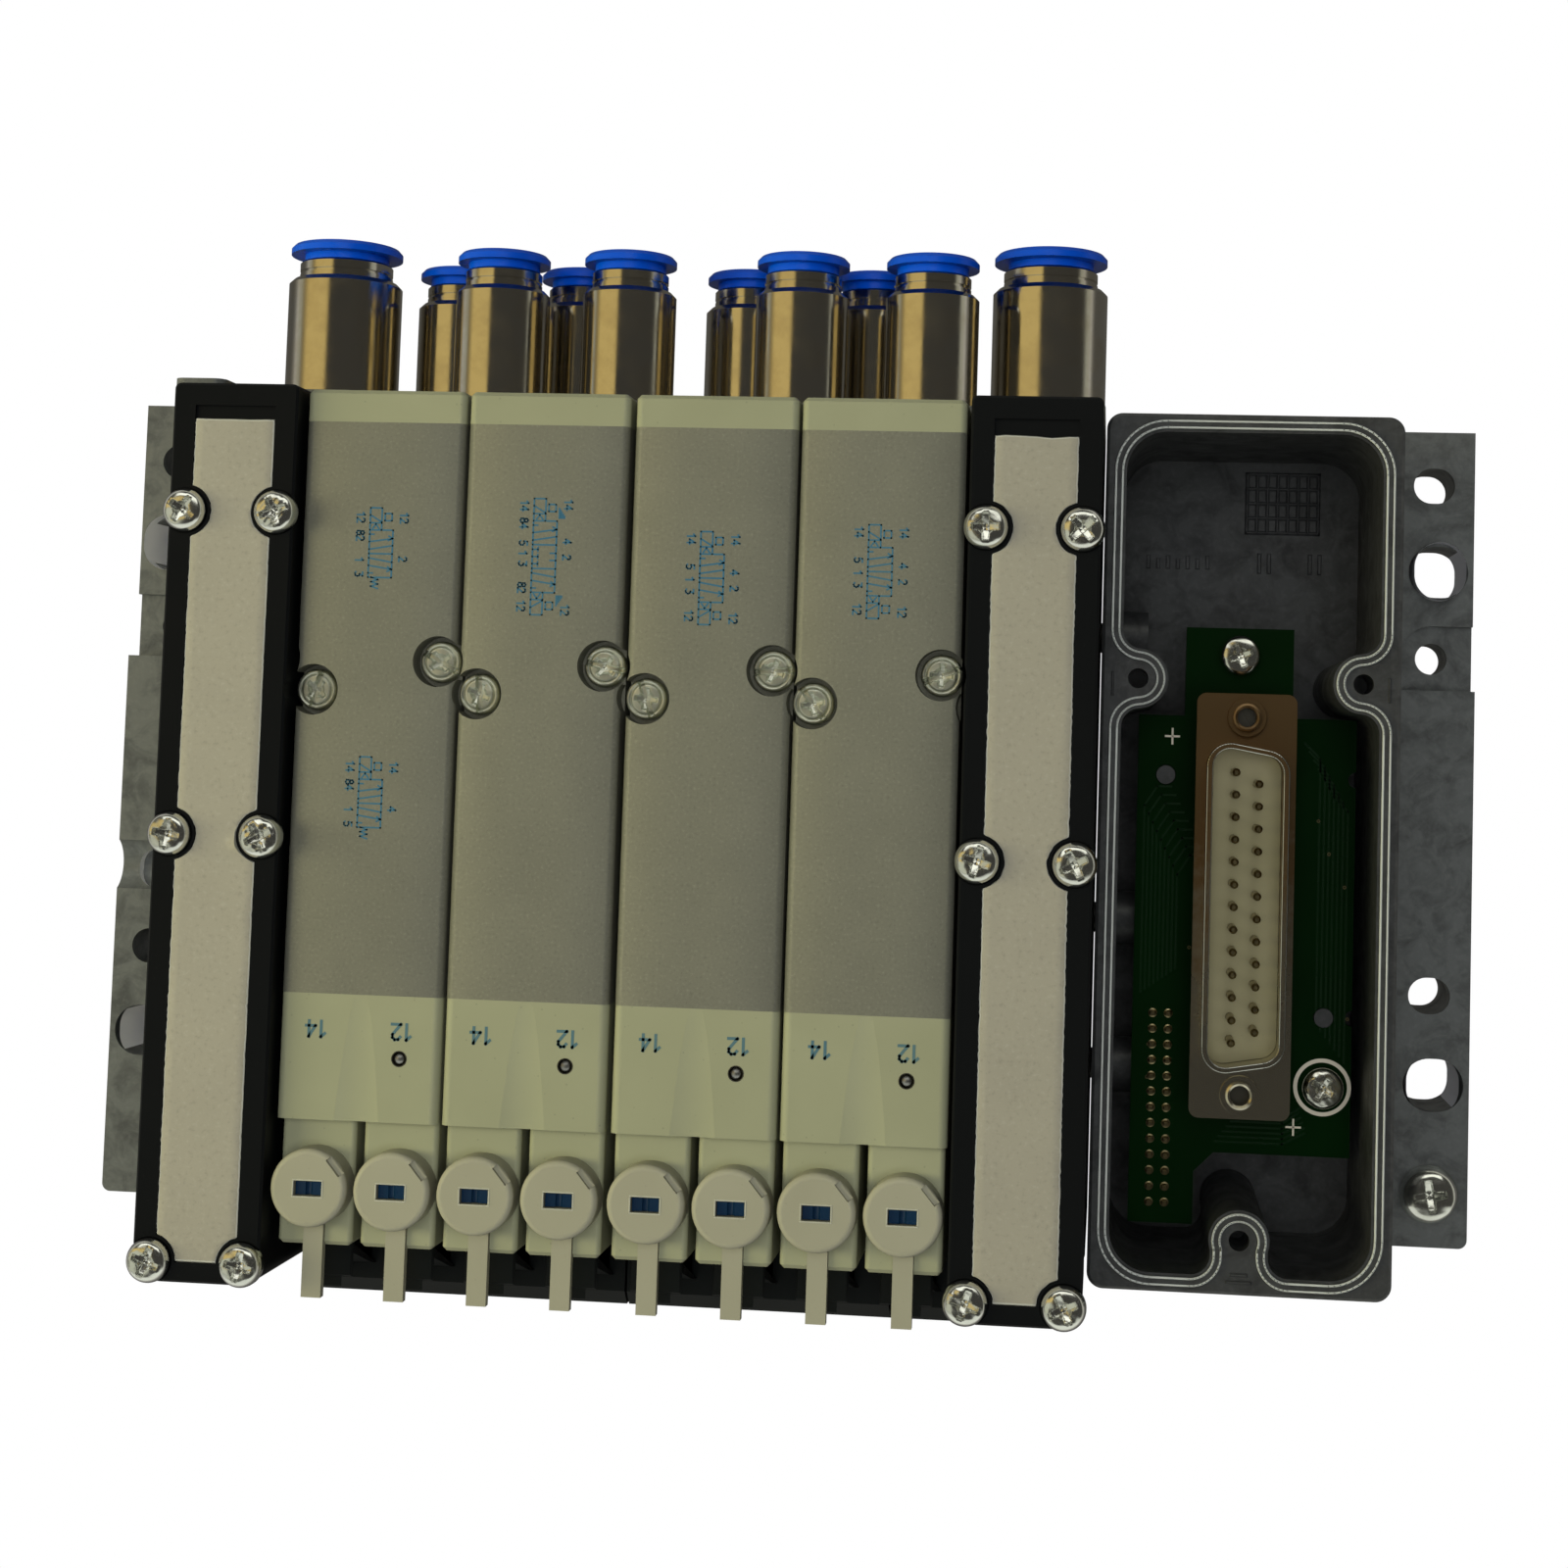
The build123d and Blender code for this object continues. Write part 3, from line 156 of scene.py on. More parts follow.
# Small light and dark flecks over slow clouds, as on blasted or painted metal and on paper.
def speckleGroup():
    group, come, go = newGroup(
        "speckle",
        [("Vector", "Vector", (0, 0, 0)), ("Base", "Color", rgb(0.2, 0.2, 0.2)),
         ("Light", "Color", rgb(0.3, 0.3, 0.3)),
         ("Dark", "Color", rgb(0.1, 0.1, 0.1)), ("Fleck size", "Float", 2500.0), ("Flecks", "Float", 0.5),
         ("Clouds", "Float", 0.3)],
        [("Color", "Color"), ("Height", "Float")])
    fine = addNode(group, "TexNoise", Vector=come["Vector"], Scale=come["Fleck size"], Detail=3.0,
                   Roughness=0.6)
    slow = addNode(group, "TexNoise", Vector=come["Vector"], Scale=120.0, Detail=4.0, Roughness=0.55)
    up = mathNode(group, "MULTIPLY", ramp(group, fine.outputs["Fac"], 0.56, 0.7), come["Flecks"])
    down = mathNode(group, "MULTIPLY", ramp(group, fine.outputs["Fac"], 0.44, 0.3), come["Flecks"])
    cloudy = mathNode(group, "MULTIPLY", ramp(group, slow.outputs["Fac"], 0.35, 0.7), come["Clouds"])
    colour = mixColour(group, cloudy, come["Base"], come["Dark"])
    colour = mixColour(group, up, colour, come["Light"])
    colour = mixColour(group, down, colour, come["Dark"])
    group.links.new(colour, go["Color"])
    group.links.new(fine.outputs["Fac"], go["Height"])
    return group


# Die-cast skin: broad flow marks, a pebbled grain and a few pits, with matching gloss.
def castGroup():
    group, come, go = newGroup(
        "castSkin",
        [("Vector", "Vector", (0, 0, 0)), ("Base", "Color", rgb(0.2, 0.2, 0.2)),
         ("Worn", "Color", rgb(0.4, 0.4, 0.4)),
         ("Stain", "Color", rgb(0.05, 0.05, 0.05)), ("Gloss", "Float", 0.45), ("Stains", "Float", 0.5)],
        [("Color", "Color"), ("Roughness", "Float"), ("Height", "Float")])
    flow = addNode(group, "TexNoise", Vector=come["Vector"], Scale=230.0, Detail=5.0, Roughness=0.6,
                   Distortion=0.8)
    grain = addNode(group, "TexNoise", Vector=come["Vector"], Scale=1400.0, Detail=3.0, Roughness=0.5)
    pits = addNode(group, "TexVoronoi", Vector=come["Vector"], Scale=420.0, Randomness=1.0)
    pit = ramp(group, pits.outputs["Distance"], 0.12, 0.05)
    stained = mathNode(group, "MULTIPLY", ramp(group, flow.outputs["Fac"], 0.42, 0.68), come["Stains"])
    colour = mixColour(group, stained, come["Base"], come["Stain"])
    colour = mixColour(group, mathNode(group, "MULTIPLY", ramp(group, grain.outputs["Fac"], 0.5, 0.7), 0.15),
                       colour, come["Worn"])
    group.links.new(colour, go["Color"])
    rough = mathNode(group, "ADD", come["Gloss"], ramp(group, flow.outputs["Fac"], 0.3, 0.7, -0.08, 0.12))
    group.links.new(rough, go["Roughness"])
    height = mathNode(group, "MULTIPLY_ADD", flow.outputs["Fac"], 2.0, grain.outputs["Fac"])
    height = mathNode(group, "MULTIPLY_ADD", pit, -0.6, height)
    group.links.new(height, go["Height"])
    return group


# Moulded plastic: spark-eroded grain, faint flow clouds and specks of dust.
def mouldGroup():
    group, come, go = newGroup(
        "mouldedSkin",
        [("Vector", "Vector", (0, 0, 0)), ("Base", "Color", rgb(0.2, 0.2, 0.2)),
         ("Shade", "Color", rgb(0.1, 0.1, 0.1)),
         ("Dust", "Color", rgb(0.3, 0.3, 0.3)), ("Grain size", "Float", 2200.0), ("Dusting", "Float", 0.2),
         ("Gloss", "Float", 0.4)],
        [("Color", "Color"), ("Roughness", "Float"), ("Height", "Float")])
    grain = addNode(group, "TexNoise", Vector=come["Vector"], Scale=come["Grain size"], Detail=2.0,
                    Roughness=0.5)
    cloud = addNode(group, "TexNoise", Vector=come["Vector"], Scale=85.0, Detail=3.0, Roughness=0.5)
    speck = addNode(group, "TexVoronoi", Vector=come["Vector"], Scale=650.0, Randomness=1.0)
    dot = mathNode(group, "MULTIPLY", ramp(group, speck.outputs["Distance"], 0.1, 0.05), come["Dusting"])
    colour = mixColour(group, ramp(group, cloud.outputs["Fac"], 0.3, 0.75, 0.0, 0.8), come["Base"],
                       come["Shade"])
    colour = mixColour(group, dot, colour, come["Dust"])
    group.links.new(colour, go["Color"])
    rough = mathNode(group, "ADD", come["Gloss"], ramp(group, cloud.outputs["Fac"], 0.3, 0.7, -0.05, 0.07))
    group.links.new(rough, go["Roughness"])
    group.links.new(grain.outputs["Fac"], go["Height"])
    return group


speckle, castSkin, mouldedSkin = speckleGroup(), castGroup(), mouldGroup()


# A Principled material; what is the same all over is set on its own sockets.
def startMaterial(name, colour, roughness, metallic=0.0, **fixed):
    material = bpy.data.materials.new(name)
    material.use_nodes = True
    tree = material.node_tree
    shader = tree.nodes["Principled BSDF"]
    shader.inputs["Base Color"].default_value = rgb(*colour)
    shader.inputs["Roughness"].default_value = roughness
    shader.inputs["Metallic"].default_value = metallic
    for key, value in fixed.items():
        shader.inputs[key.replace("_", " ")].default_value = value
    place = addNode(tree, "TexCoord").outputs["Object"]
    return material, tree, shader, place


# A shared group in a material's tree, its inputs linked or set as in addNode.
def placeGroup(tree, group, **values):
    made = tree.nodes.new("ShaderNodeGroup")
    made.node_tree = group
    for key, value in values.items():
        socket = made.inputs[key.replace("_", " ")]
        if isinstance(value, bpy.types.NodeSocket):
            tree.links.new(value, socket)
        else:
            socket.default_value = value
    return made.outputs


# Tilts the normal down the slope of height times distance.
def addBump(tree, shader, height, strength, distance):
    bump = addNode(tree, "Bump", Height=height, Strength=strength, Distance=distance)
    tree.links.new(bump.outputs["Normal"], shader.inputs["Normal"])


# Cast metal: colour, gloss and relief all from the shared cast skin.
def castMaterial(name, base, worn, stain, gloss=0.42, stains=0.5, metallic=0.9, bump=0.25):
    material, tree, shader, place = startMaterial(name, base, gloss, metallic)
    skin = placeGroup(tree, castSkin, Vector=place, Base=rgb(*base), Worn=rgb(*worn), Stain=rgb(*stain),
                      Gloss=gloss,
                      Stains=stains)
    tree.links.new(skin["Color"], shader.inputs["Base Color"])
    tree.links.new(skin["Roughness"], shader.inputs["Roughness"])
    addBump(tree, shader, skin["Height"], bump, 0.0001)
    return material


# Moulded plastic: colour, gloss and relief all from the shared moulded skin.
def mouldedMaterial(name, base, shade, dust, gloss=0.4, dusting=0.15, bump=0.2, grain=2200.0, **fixed):
    material, tree, shader, place = startMaterial(name, base, gloss, 0.0, **fixed)
    skin = placeGroup(tree, mouldedSkin, Vector=place, Base=rgb(*base), Shade=rgb(*shade), Dust=rgb(*dust),
                      Grain_size=grain, Dusting=dusting, Gloss=gloss)
    tree.links.new(skin["Color"], shader.inputs["Base Color"])
    tree.links.new(skin["Roughness"], shader.inputs["Roughness"])
    addBump(tree, shader, skin["Height"], bump, 0.00005)
    return material


# Blasted, painted or paper finish: colour and relief from the shared speckle.
def speckledMaterial(name, base, light, dark, roughness, metallic=0.0, flecks=0.5, clouds=0.3, size=2500.0,
                     bump=0.2,
                     **fixed):
    material, tree, shader, place = startMaterial(name, base, roughness, metallic, **fixed)
    skin = placeGroup(tree, speckle, Vector=place, Base=rgb(*base), Light=rgb(*light), Dark=rgb(*dark),
                      Fleck_size=size, Flecks=flecks, Clouds=clouds)
    tree.links.new(skin["Color"], shader.inputs["Base Color"])
    addBump(tree, shader, skin["Height"], bump, 0.00005)
    return material


# Speckled slice whose top looks slightly crowned: height falls with the third power of the distance from
# the slice's own middle.
def bodyMaterial(name, middles, half, **looks):
    material = speckledMaterial(name, **looks)
    tree = material.node_tree
    shader = tree.nodes["Principled BSDF"]
    x = addNode(tree, "SeparateXYZ", Vector=addNode(tree, "TexCoord").outputs["Object"]).outputs["X"]
    pitch = (middles[1] - middles[0]) * mm
    away = mathNode(tree, "WRAP", x, (middles[0] + middles[1]) / 2 * mm,
                    (middles[0] + middles[1]) / 2 * mm - pitch)
    away = mathNode(tree, "DIVIDE", mathNode(tree, "SUBTRACT", away, middles[0] * mm), half * mm)
    crown = mathNode(tree, "POWER", mathNode(tree, "ABSOLUTE", away), 3.0)
    fine = shader.inputs["Normal"].links[0].from_socket
    bump = addNode(tree, "Bump", Height=crown, Strength=1.0, Distance=0.0011)
    bump.invert = True
    tree.links.new(fine, bump.inputs["Normal"])
    tree.links.new(bump.outputs["Normal"], shader.inputs["Normal"])
    return material


# Tinned sheet with a painted reflection: brown towards the front end, bright towards the back end, broken up
# by clouds.
def shellMaterial(name, bright, brown, midY, reach):
    material, tree, shader, place = startMaterial(name, bright, 0.3, 1.0)
    y = addNode(tree, "SeparateXYZ", Vector=place).outputs["Y"]
    cloud = addNode(tree, "TexNoise", Vector=place, Scale=260.0, Detail=5.0, Roughness=0.6)
    drift = mathNode(tree, "MULTIPLY_ADD", ramp(tree, cloud.outputs["Fac"], 0.3, 0.7, -1.0, 1.0), 0.009, y)
    # painted reflection: 0 at the bright back end, 1 at the brown front end
    stain = ramp(tree, drift, (midY - reach) * mm, (midY + reach * 0.4) * mm)
    tree.links.new(mixColour(tree, stain, rgb(*bright), rgb(*brown)), shader.inputs["Base Color"])
    tree.links.new(ramp(tree, stain, 0.0, 1.0, 0.22, 0.42), shader.inputs["Roughness"])
    addBump(tree, shader, cloud.outputs["Fac"], 0.12, 0.00008)
    return material


# Plated metal: fine turning or tumbling scratches and patches where the plate has gone dull.
def platedMaterial(name, base, dull, roughness, tarnish=0.4, scratch=0.15):
    material, tree, shader, place = startMaterial(name, base, roughness, 1.0)
    cloud = addNode(tree, "TexNoise", Vector=place, Scale=220.0, Detail=5.0, Roughness=0.65)
    fine = addNode(tree, "TexNoise", Vector=place, Scale=3500.0, Detail=2.0)
    patch = mathNode(tree, "MULTIPLY", ramp(tree, cloud.outputs["Fac"], 0.42, 0.68), tarnish)
    tree.links.new(mixColour(tree, patch, rgb(*base), rgb(*dull)), shader.inputs["Base Color"])
    tree.links.new(ramp(tree, cloud.outputs["Fac"], 0.3, 0.7, roughness, roughness + 0.14),
                   shader.inputs["Roughness"])
    addBump(tree, shader, fine.outputs["Fac"], scratch, 0.00003)
    return material


valveMiddles = (-46.15, -25.15, -3.85, 17.15)
finishes = {
    "cast_plate": castMaterial("castPlate", (0.17, 0.18, 0.175), (0.3, 0.31, 0.3), (0.07, 0.072, 0.072),
                               stains=0.7, metallic=0.55),
    "cast_block": castMaterial("castBlock", (0.16, 0.165, 0.15), (0.3, 0.3, 0.28), (0.07, 0.07, 0.065),
                               metallic=0.55),
    "cast_housing": castMaterial("castHousing", (0.08, 0.083, 0.083), (0.16, 0.16, 0.16), (0.03, 0.03, 0.032),
                                 gloss=0.38, stains=0.6, metallic=0.6),
    "black_cover": mouldedMaterial("blackCover", (0.003, 0.0035, 0.004), (0.0025, 0.003, 0.0035),
                                   (0.02, 0.02, 0.02),
                                   gloss=0.5, Specular_IOR_Level=0.16),
    "black_module": mouldedMaterial("blackModule", (0.004, 0.005, 0.005), (0.003, 0.004, 0.004),
                                    (0.02, 0.02, 0.02),
                                    gloss=0.5, Specular_IOR_Level=0.25),
    "label": speckledMaterial("labelPaper", (0.3, 0.282, 0.222), (0.37, 0.355, 0.29), (0.18, 0.17, 0.14),
                              0.85,
                              flecks=0.35, clouds=0.12, size=1500.0, Specular_IOR_Level=0.2),
    "satin_body": bodyMaterial("satinBody", valveMiddles, 10.3, base=(0.205, 0.203, 0.155),
                               light=(0.3, 0.3, 0.24),
                               dark=(0.12, 0.12,
                                     0.095), roughness=0.44, metallic=0.35, flecks=0.4, clouds=0.2,
                               size=2500.0, bump=0.25),
    "white_housing": mouldedMaterial("whiteHousing", (0.28, 0.285, 0.18), (0.25, 0.255, 0.16),
                                     (0.1, 0.1, 0.07),
                                     gloss=0.42, dusting=0.3, Specular_IOR_Level=0.3),
    "white_cap": mouldedMaterial("whiteCap", (0.3, 0.29, 0.21), (0.27, 0.26, 0.185), (0.15, 0.15, 0.11),
                                 gloss=0.38,
                                 Specular_IOR_Level=0.35),
    "blue_button": mouldedMaterial("blueButton", (0.003, 0.022, 0.055), (0.002, 0.01, 0.03),
                                   (0.02, 0.03, 0.05), gloss=0.3),
    "seal": mouldedMaterial("sealRubber", (0.006, 0.006, 0.012), (0.004, 0.004, 0.01), (0.03, 0.03, 0.03),
                            gloss=0.6),
    "nickel_brass": platedMaterial("nickelBrass", (0.62, 0.59, 0.52), (0.5, 0.42, 0.28), 0.09),
    "blue_ring": mouldedMaterial("blueRing", (0.0006, 0.075, 0.56), (0.0005, 0.06, 0.48),
                                 (0.01, 0.06, 0.25), gloss=0.3,
                                 Specular_IOR_Level=0.3),
    "spool": platedMaterial("spoolSteel", (0.6, 0.6, 0.58), (0.4, 0.4, 0.4), 0.2),
    "board": mouldedMaterial("boardMask", (0.0005, 0.009, 0.0008), (0.0004, 0.006, 0.0006),
                             (0.004, 0.02, 0.004),
                             gloss=0.35, Specular_IOR_Level=0.1),
    # bright and brown ends of the shell's painted reflection
    "tin_shell": shellMaterial("tinShell", (0.6, 0.56, 0.46), (0.26, 0.17, 0.09), -10.0, 18.0),
    "ivory_insulator": mouldedMaterial("ivoryInsulator", (0.27, 0.245, 0.14), (0.24, 0.22, 0.12),
                                       (0.12, 0.1, 0.06)),
    "contact": platedMaterial("contactPlate", (0.4, 0.34, 0.2), (0.25, 0.2, 0.12), 0.25),
    "steel": platedMaterial("rodSteel", (0.4, 0.4, 0.4), (0.2, 0.2, 0.2), 0.35),
    "dull_screw": platedMaterial("dullScrew", (0.85, 0.88, 0.8), (0.6, 0.63, 0.57), 0.36, tarnish=0.5),
    "bright_screw": platedMaterial("brightScrew", (0.78, 0.79, 0.76), (0.5, 0.5, 0.46), 0.13),
}
for node in nodes.values():
    for place in node.material_slots:
        place.material = finishes[place.material.name.split(".")[0]]
print("materials:", len(finishes))


# Turns (radius, height) points round Z, from the axis outwards over the top and down.
def lathe(profile, count=64):
    r, z = np.array(profile, float).T
    a = np.linspace(0, 2 * math.pi, count, endpoint=False)
    points = np.stack([np.outer(r, np.cos(a)), np.outer(r, np.sin(a)), np.outer(z, np.ones(count))], -1)
    return points.reshape(-1, 3), gridFaces(len(r), count, closeColumns=True).tolist()


# Turns a shape about Z in degrees, lays its Z along up, and moves it to a place.
def placed(shape, x=0.0, y=0.0, z=0.0, turn=0.0, up="Z"):
    points, faces = shape
    c, s = math.cos(math.radians(turn)), math.sin(math.radians(turn))
    p = np.asarray(points, float) @ np.array([[c, s, 0], [-s, c, 0], [0, 0, 1]])
    if up == "Y":
        p = np.stack([p[:, 0], p[:, 2], -p[:, 1]], 1)
    if up == "down":
        p = p * [1, -1, -1]
    return p + [x, y, z], faces


# Smooth step from 0 to 1 over a width centred on 0.
def soft(value, width):
    t = np.clip(value / width + 0.5, 0, 1)
    return t * t * (3 - 2 * t)


# Flat strips along polylines, each segment a rectangle that reaches half a width past its ends.
def ribbons(lines, width, z):
    points, faces = [], []
    for line in lines:
        for p, q in zip(line, line[1:]):
            p, q = np.array(p, float), np.array(q, float)
            along = (q - p) / max(np.linalg.norm(q - p), 1e-6) * width / 2
            side = np.array([-along[1], along[0]])
            corners = [p - along - side, q + along - side, q + along + side, p - along + side]
            faces.append([len(points) + k for k in range(4)])
            points += [(x, y, z) for x, y in corners]
    return np.array(points), faces


rowValues = {"valveX": valveMiddles, "supplyX": (-65.15, 36.15), "valveTop": 54.0, "rim": 49.0}
valveX, supplyX, valveTop = rowValues["valveX"], rowValues["supplyX"], rowValues["valveTop"]


# crown: drop at the edge; edge: its rounding; shank and length: of the shank; width, arm, depth: of the cross
screwValues = {
    "supply": dict(radius=2.75, height=2.1, crown=0.55, edge=0.95, shank=1.5, length=10.0, width=0.95,
                   arm=1.7,
                   depth=1.3, slot=0.0, lumps=0.03, groove=0.0),
    "valve": dict(radius=2.6, height=2.2, crown=0.2, edge=0.4, shank=1.5, length=12.0, width=0.75, arm=1.35,
                  depth=0.8, slot=0.62, lumps=0.02, groove=0.2),
    "board": dict(radius=2.6, height=2.2, crown=0.4, edge=0.6, shank=1.5, length=8.0, width=0.9, arm=1.5,
                  depth=1.0,
                  slot=0.0, lumps=0.03, groove=0.0),
    "end": dict(radius=3.9, height=2.8, crown=1.0, edge=1.2, shank=2.0, length=9.0, width=1.1, arm=2.1,
                depth=1.6,
                slot=0.0, lumps=0.02, groove=0.0),
}


# Pan head on a polar grid: height falls with the fourth power of the radius to a rounded edge, less a
# cross recess whose arms narrow and rise outwards, less a slot across the head, less slow lumps.
def screwShape(kind, seed):
    v = screwValues[kind]
    rng = np.random.default_rng(seed)
    big, edge = v["radius"], v["edge"]
    rings = np.concatenate([np.linspace(0.02, big - edge, 24),
                            big - edge + edge * np.sin(np.linspace(0.15, 1, 8) * math.pi / 2)])
    a = np.linspace(0, 2 * math.pi, 96, endpoint=False)
    r, turn = np.meshgrid(rings, a, indexing="ij")
    x, y = r * np.cos(turn), r * np.sin(turn)
    past = np.clip(r - (big - edge), 0, edge)
    z = v["height"] - v["crown"] * (r / big) ** 4 - (edge - np.sqrt(np.clip(edge ** 2 - past ** 2, 0, None)))
    recess = np.zeros_like(r)
    for u, w in ((x, y), (y, x)):
        wide = v["width"] * (1 - 0.25 * np.abs(u) / v["arm"])
        arm = soft(wide / 2 - np.abs(w), 0.16) * soft(v["arm"] - np.abs(u), 0.3)
        recess = np.maximum(recess, arm * v["depth"] * (1 - 0.5 * np.clip(np.abs(u) / v["arm"], 0, 1)))
    recess = np.maximum(recess, soft(0.85 - r, 0.4) * v["depth"] * 0.8)
    if v["slot"]:
        across = (x * math.cos(0.45) + y * math.sin(0.45))
        recess = np.maximum(recess, soft(v["slot"] / 2 - np.abs(across), 0.14) * 0.75)
    for _ in range(5):
        kx, ky, phase = rng.normal(0, 2.2), rng.normal(0, 2.2), rng.uniform(0, 6.3)
        z = z - v["lumps"] * 0.5 * (1 + np.sin(kx * x + ky * y + phase)) * soft(big - edge * 0.6 - r, 0.4)
    z = z - v["groove"] * np.exp(-((r - 0.76 * big) / 0.13) ** 2)
    z = np.maximum(z - recess, 0.05)
    head = np.stack([x, y, z], -1).reshape(-1, 3)
    low = [(big, 0.0), (v["shank"], 0.0), (v["shank"], -v["length"]), (0.01, -v["length"])]
    under = np.concatenate([np.stack([q * np.cos(a), q * np.sin(a), np.full(96, h)], -1) for q, h in low])
    return np.concatenate([head, under]), gridFaces(len(rings) + len(low), 96, closeColumns=True).tolist()


screwPlaces = {"coverX": (-5.9, 5.9), "coverY": (35.6, -5.1, -57.8), "coverZ": 55.6, "valveZ": 50.6}


# Three rows on each cover, two screws to a valve, then the board's, the end plate's and the base's own.
def makeScrews():
    rng = np.random.default_rng(7)
    v = screwPlaces
    supply = [placed(screwShape("supply", 10 + n), x, y, v["coverZ"], rng.uniform(0, 90)) for n,
              (x, y) in enumerate(
        (mid + dx, y) for mid in supplyX for dx in v["coverX"] for y in v["coverY"])]
    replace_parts(meshPiece("supplyScrewHeads", join(*supply), finishes["bright_screw"]),
                "supply_screws")
    valve = [placed(screwShape("valve", 40 + n), x, y, v["valveZ"], turn) for n, (x, y, turn) in enumerate(
        (mid + dx, y, turn + 17 * k) for k, mid in enumerate(valveX) for dx, y, turn in ((-7.95, 13.5, -40),
                (7.95, 17.4, 35)))]
    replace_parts(meshPiece("valveScrewHeads", join(*valve), finishes["dull_screw"]),
                "valve_screws")
    others = [placed(screwShape("board", 60), 62.45, 21.6, 34.0, 20),
              placed(screwShape("board", 61), 73.95, -33.2, 34.0, 60),
              placed(screwShape("end", 62), 90.25, -49.5, 12.7, 10)]
    others += [placed(screwShape("board", 63 + n), 63.05, y, 3.0, 30 * n, up="down") for n,
               y in enumerate((-30, -4, 22))]
    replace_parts(meshPiece("housingScrewHeads", join(*others), finishes["bright_screw"]),
                "housing_screws")


printValues = {"stroke": 0.2, "height": 0.025, "digit": 1.2, "symbolDigit": 0.62, "square": 3.0,
               "numberStroke": 0.37, "numberX": (-5.5, 5.4), "numberY": -28.8}
digitLines = {
    "1": [[(0.1, 1.25), (0.5, 1.6), (0.5, 0)]],
    "2": [[(0.05, 1.3), (0.25, 1.55), (0.6, 1.58), (0.85, 1.35), (0.85, 1.05), (0.0, 0.0), (0.92, 0.0)]],
    "3": [[(0.05, 1.6), (0.85, 1.6), (0.42, 0.98), (0.75, 0.85), (0.88, 0.5), (0.7, 0.12), (0.35, 0.0),
           (0.0, 0.15)]],
    "4": [[(0.68, 0.0), (0.68, 1.6), (0.0, 0.48), (0.98, 0.48)]],
    "5": [[(0.85, 1.6), (0.15, 1.6), (0.08, 0.92), (0.5, 1.0), (0.85, 0.75), (0.85, 0.3), (0.6, 0.02),
           (0.25, 0.0), (0.0, 0.2)]],
    "8": [[(0.45, 0.85), (0.12, 1.05), (0.12, 1.4), (0.45, 1.6), (0.78, 1.4), (0.78, 1.05), (0.45, 0.85),
           (0.05, 0.6),
           (0.05, 0.2), (0.45, 0.0), (0.85, 0.2), (0.85, 0.6), (0.45, 0.85)]],
}


# Stroked digits centred on the origin.
def written(text, size):
    lines, pen = [], 0.0
    for mark in text:
        lines += [[((x + pen) * size, (y - 0.8) * size) for x, y in line] for line in digitLines[mark]]
        pen += 1.12
    middle = (pen - 0.3) * size / 2
    return [[(x - middle, y) for x, y in line] for line in lines]


# Each point turned about the origin by turn degrees, then moved by (x, y).
def turnedLines(lines, x, y, turn):
    c, s = math.cos(math.radians(turn)), math.sin(math.radians(turn))
    return [[(x + c * p - s * q, y + s * p + c * q) for p, q in line] for line in lines]


# Each point plus (s, t).
def moved(lines, s, t):
    return [[(p + s, q + t) for p, q in line] for line in lines]


# Standard valve symbol: squares with flow arrows, coil boxes at the ends; origin at the middle.
def valveSymbol(squares, springEnd=False, pilots=False):
    a = printValues["square"]
    half = squares * a / 2
    lines = [[(-half, 0), (half, 0), (half, a), (-half, a), (-half, 0)]]
    lines += [[(-half + k * a, 0), (-half + k * a, a)] for k in range(1, squares)]
    for k in range(squares):
        s = -half + k * a
        way = 1 if k == 0 else -1
        if squares == 3 and k == 1:
            lines += [[(s + p, 0), (s + p, 0.7)] for p in (0.6, 1.5, 2.4)]
            lines += [[(s + p, a), (s + p, a - 0.7)] for p in (1.05, 1.95)]
            lines += [[(s + p - 0.25, 0.7), (s + p + 0.25, 0.7)] for p in (0.6, 1.5, 2.4)]
            continue
        low, high = s + a / 2, s + a / 2 - way * 0.45
        lines += [[(low, 0), (high, a)], [(high - 0.3, a - 0.5), (high, a), (high + 0.25, a - 0.55)]]
        lines += [[(s + a / 2 + way * 0.45, a), (s + a / 2 + way * 0.95, 0)]]
        lines += [[(s + a / 2 - way * 0.95, 0), (s + a / 2 - way * 0.95, 0.55)]]
    for end in (-1, 1):
        if springEnd and end == 1:
            lines += [[(half + p, 0.4 + (0.9 if n % 2 else 0)) for n, p in enumerate(np.linspace(0, 1.4, 6))]]
            continue
        box = [(end * half, 0.0), (end * (half + 2.8), 0.0), (end * (half + 2.8), 1.5), (end * half, 1.5)]
        lines += [box, [(end * (half + 1.9), 0), (end * (half + 1.0), 1.5)],
                  [(end * (half + 0.9), 0), (end * (half + 0.9), 1.5)],
                  [(end * (half + 0.2), 0.35), (end * (half + 0.75), 0.75), (end * (half + 0.2), 1.15)]]
        lines += [[(end * (half + 1.2), 1.9), (end * (half + 2.1), 1.9), (end * (half + 2.1), 2.8),
                   (end * (half + 1.2), 2.8),
                   (end * (half + 1.2), 1.9)]]
        if pilots:
            lines += [[(end * (half + 0.4), a + 0.25 + n * 0.17),
                       (end * (half + 1.6 - n * 0.25), a + 0.25 + n * 0.17)]
                      for n in range(5)]
    return lines


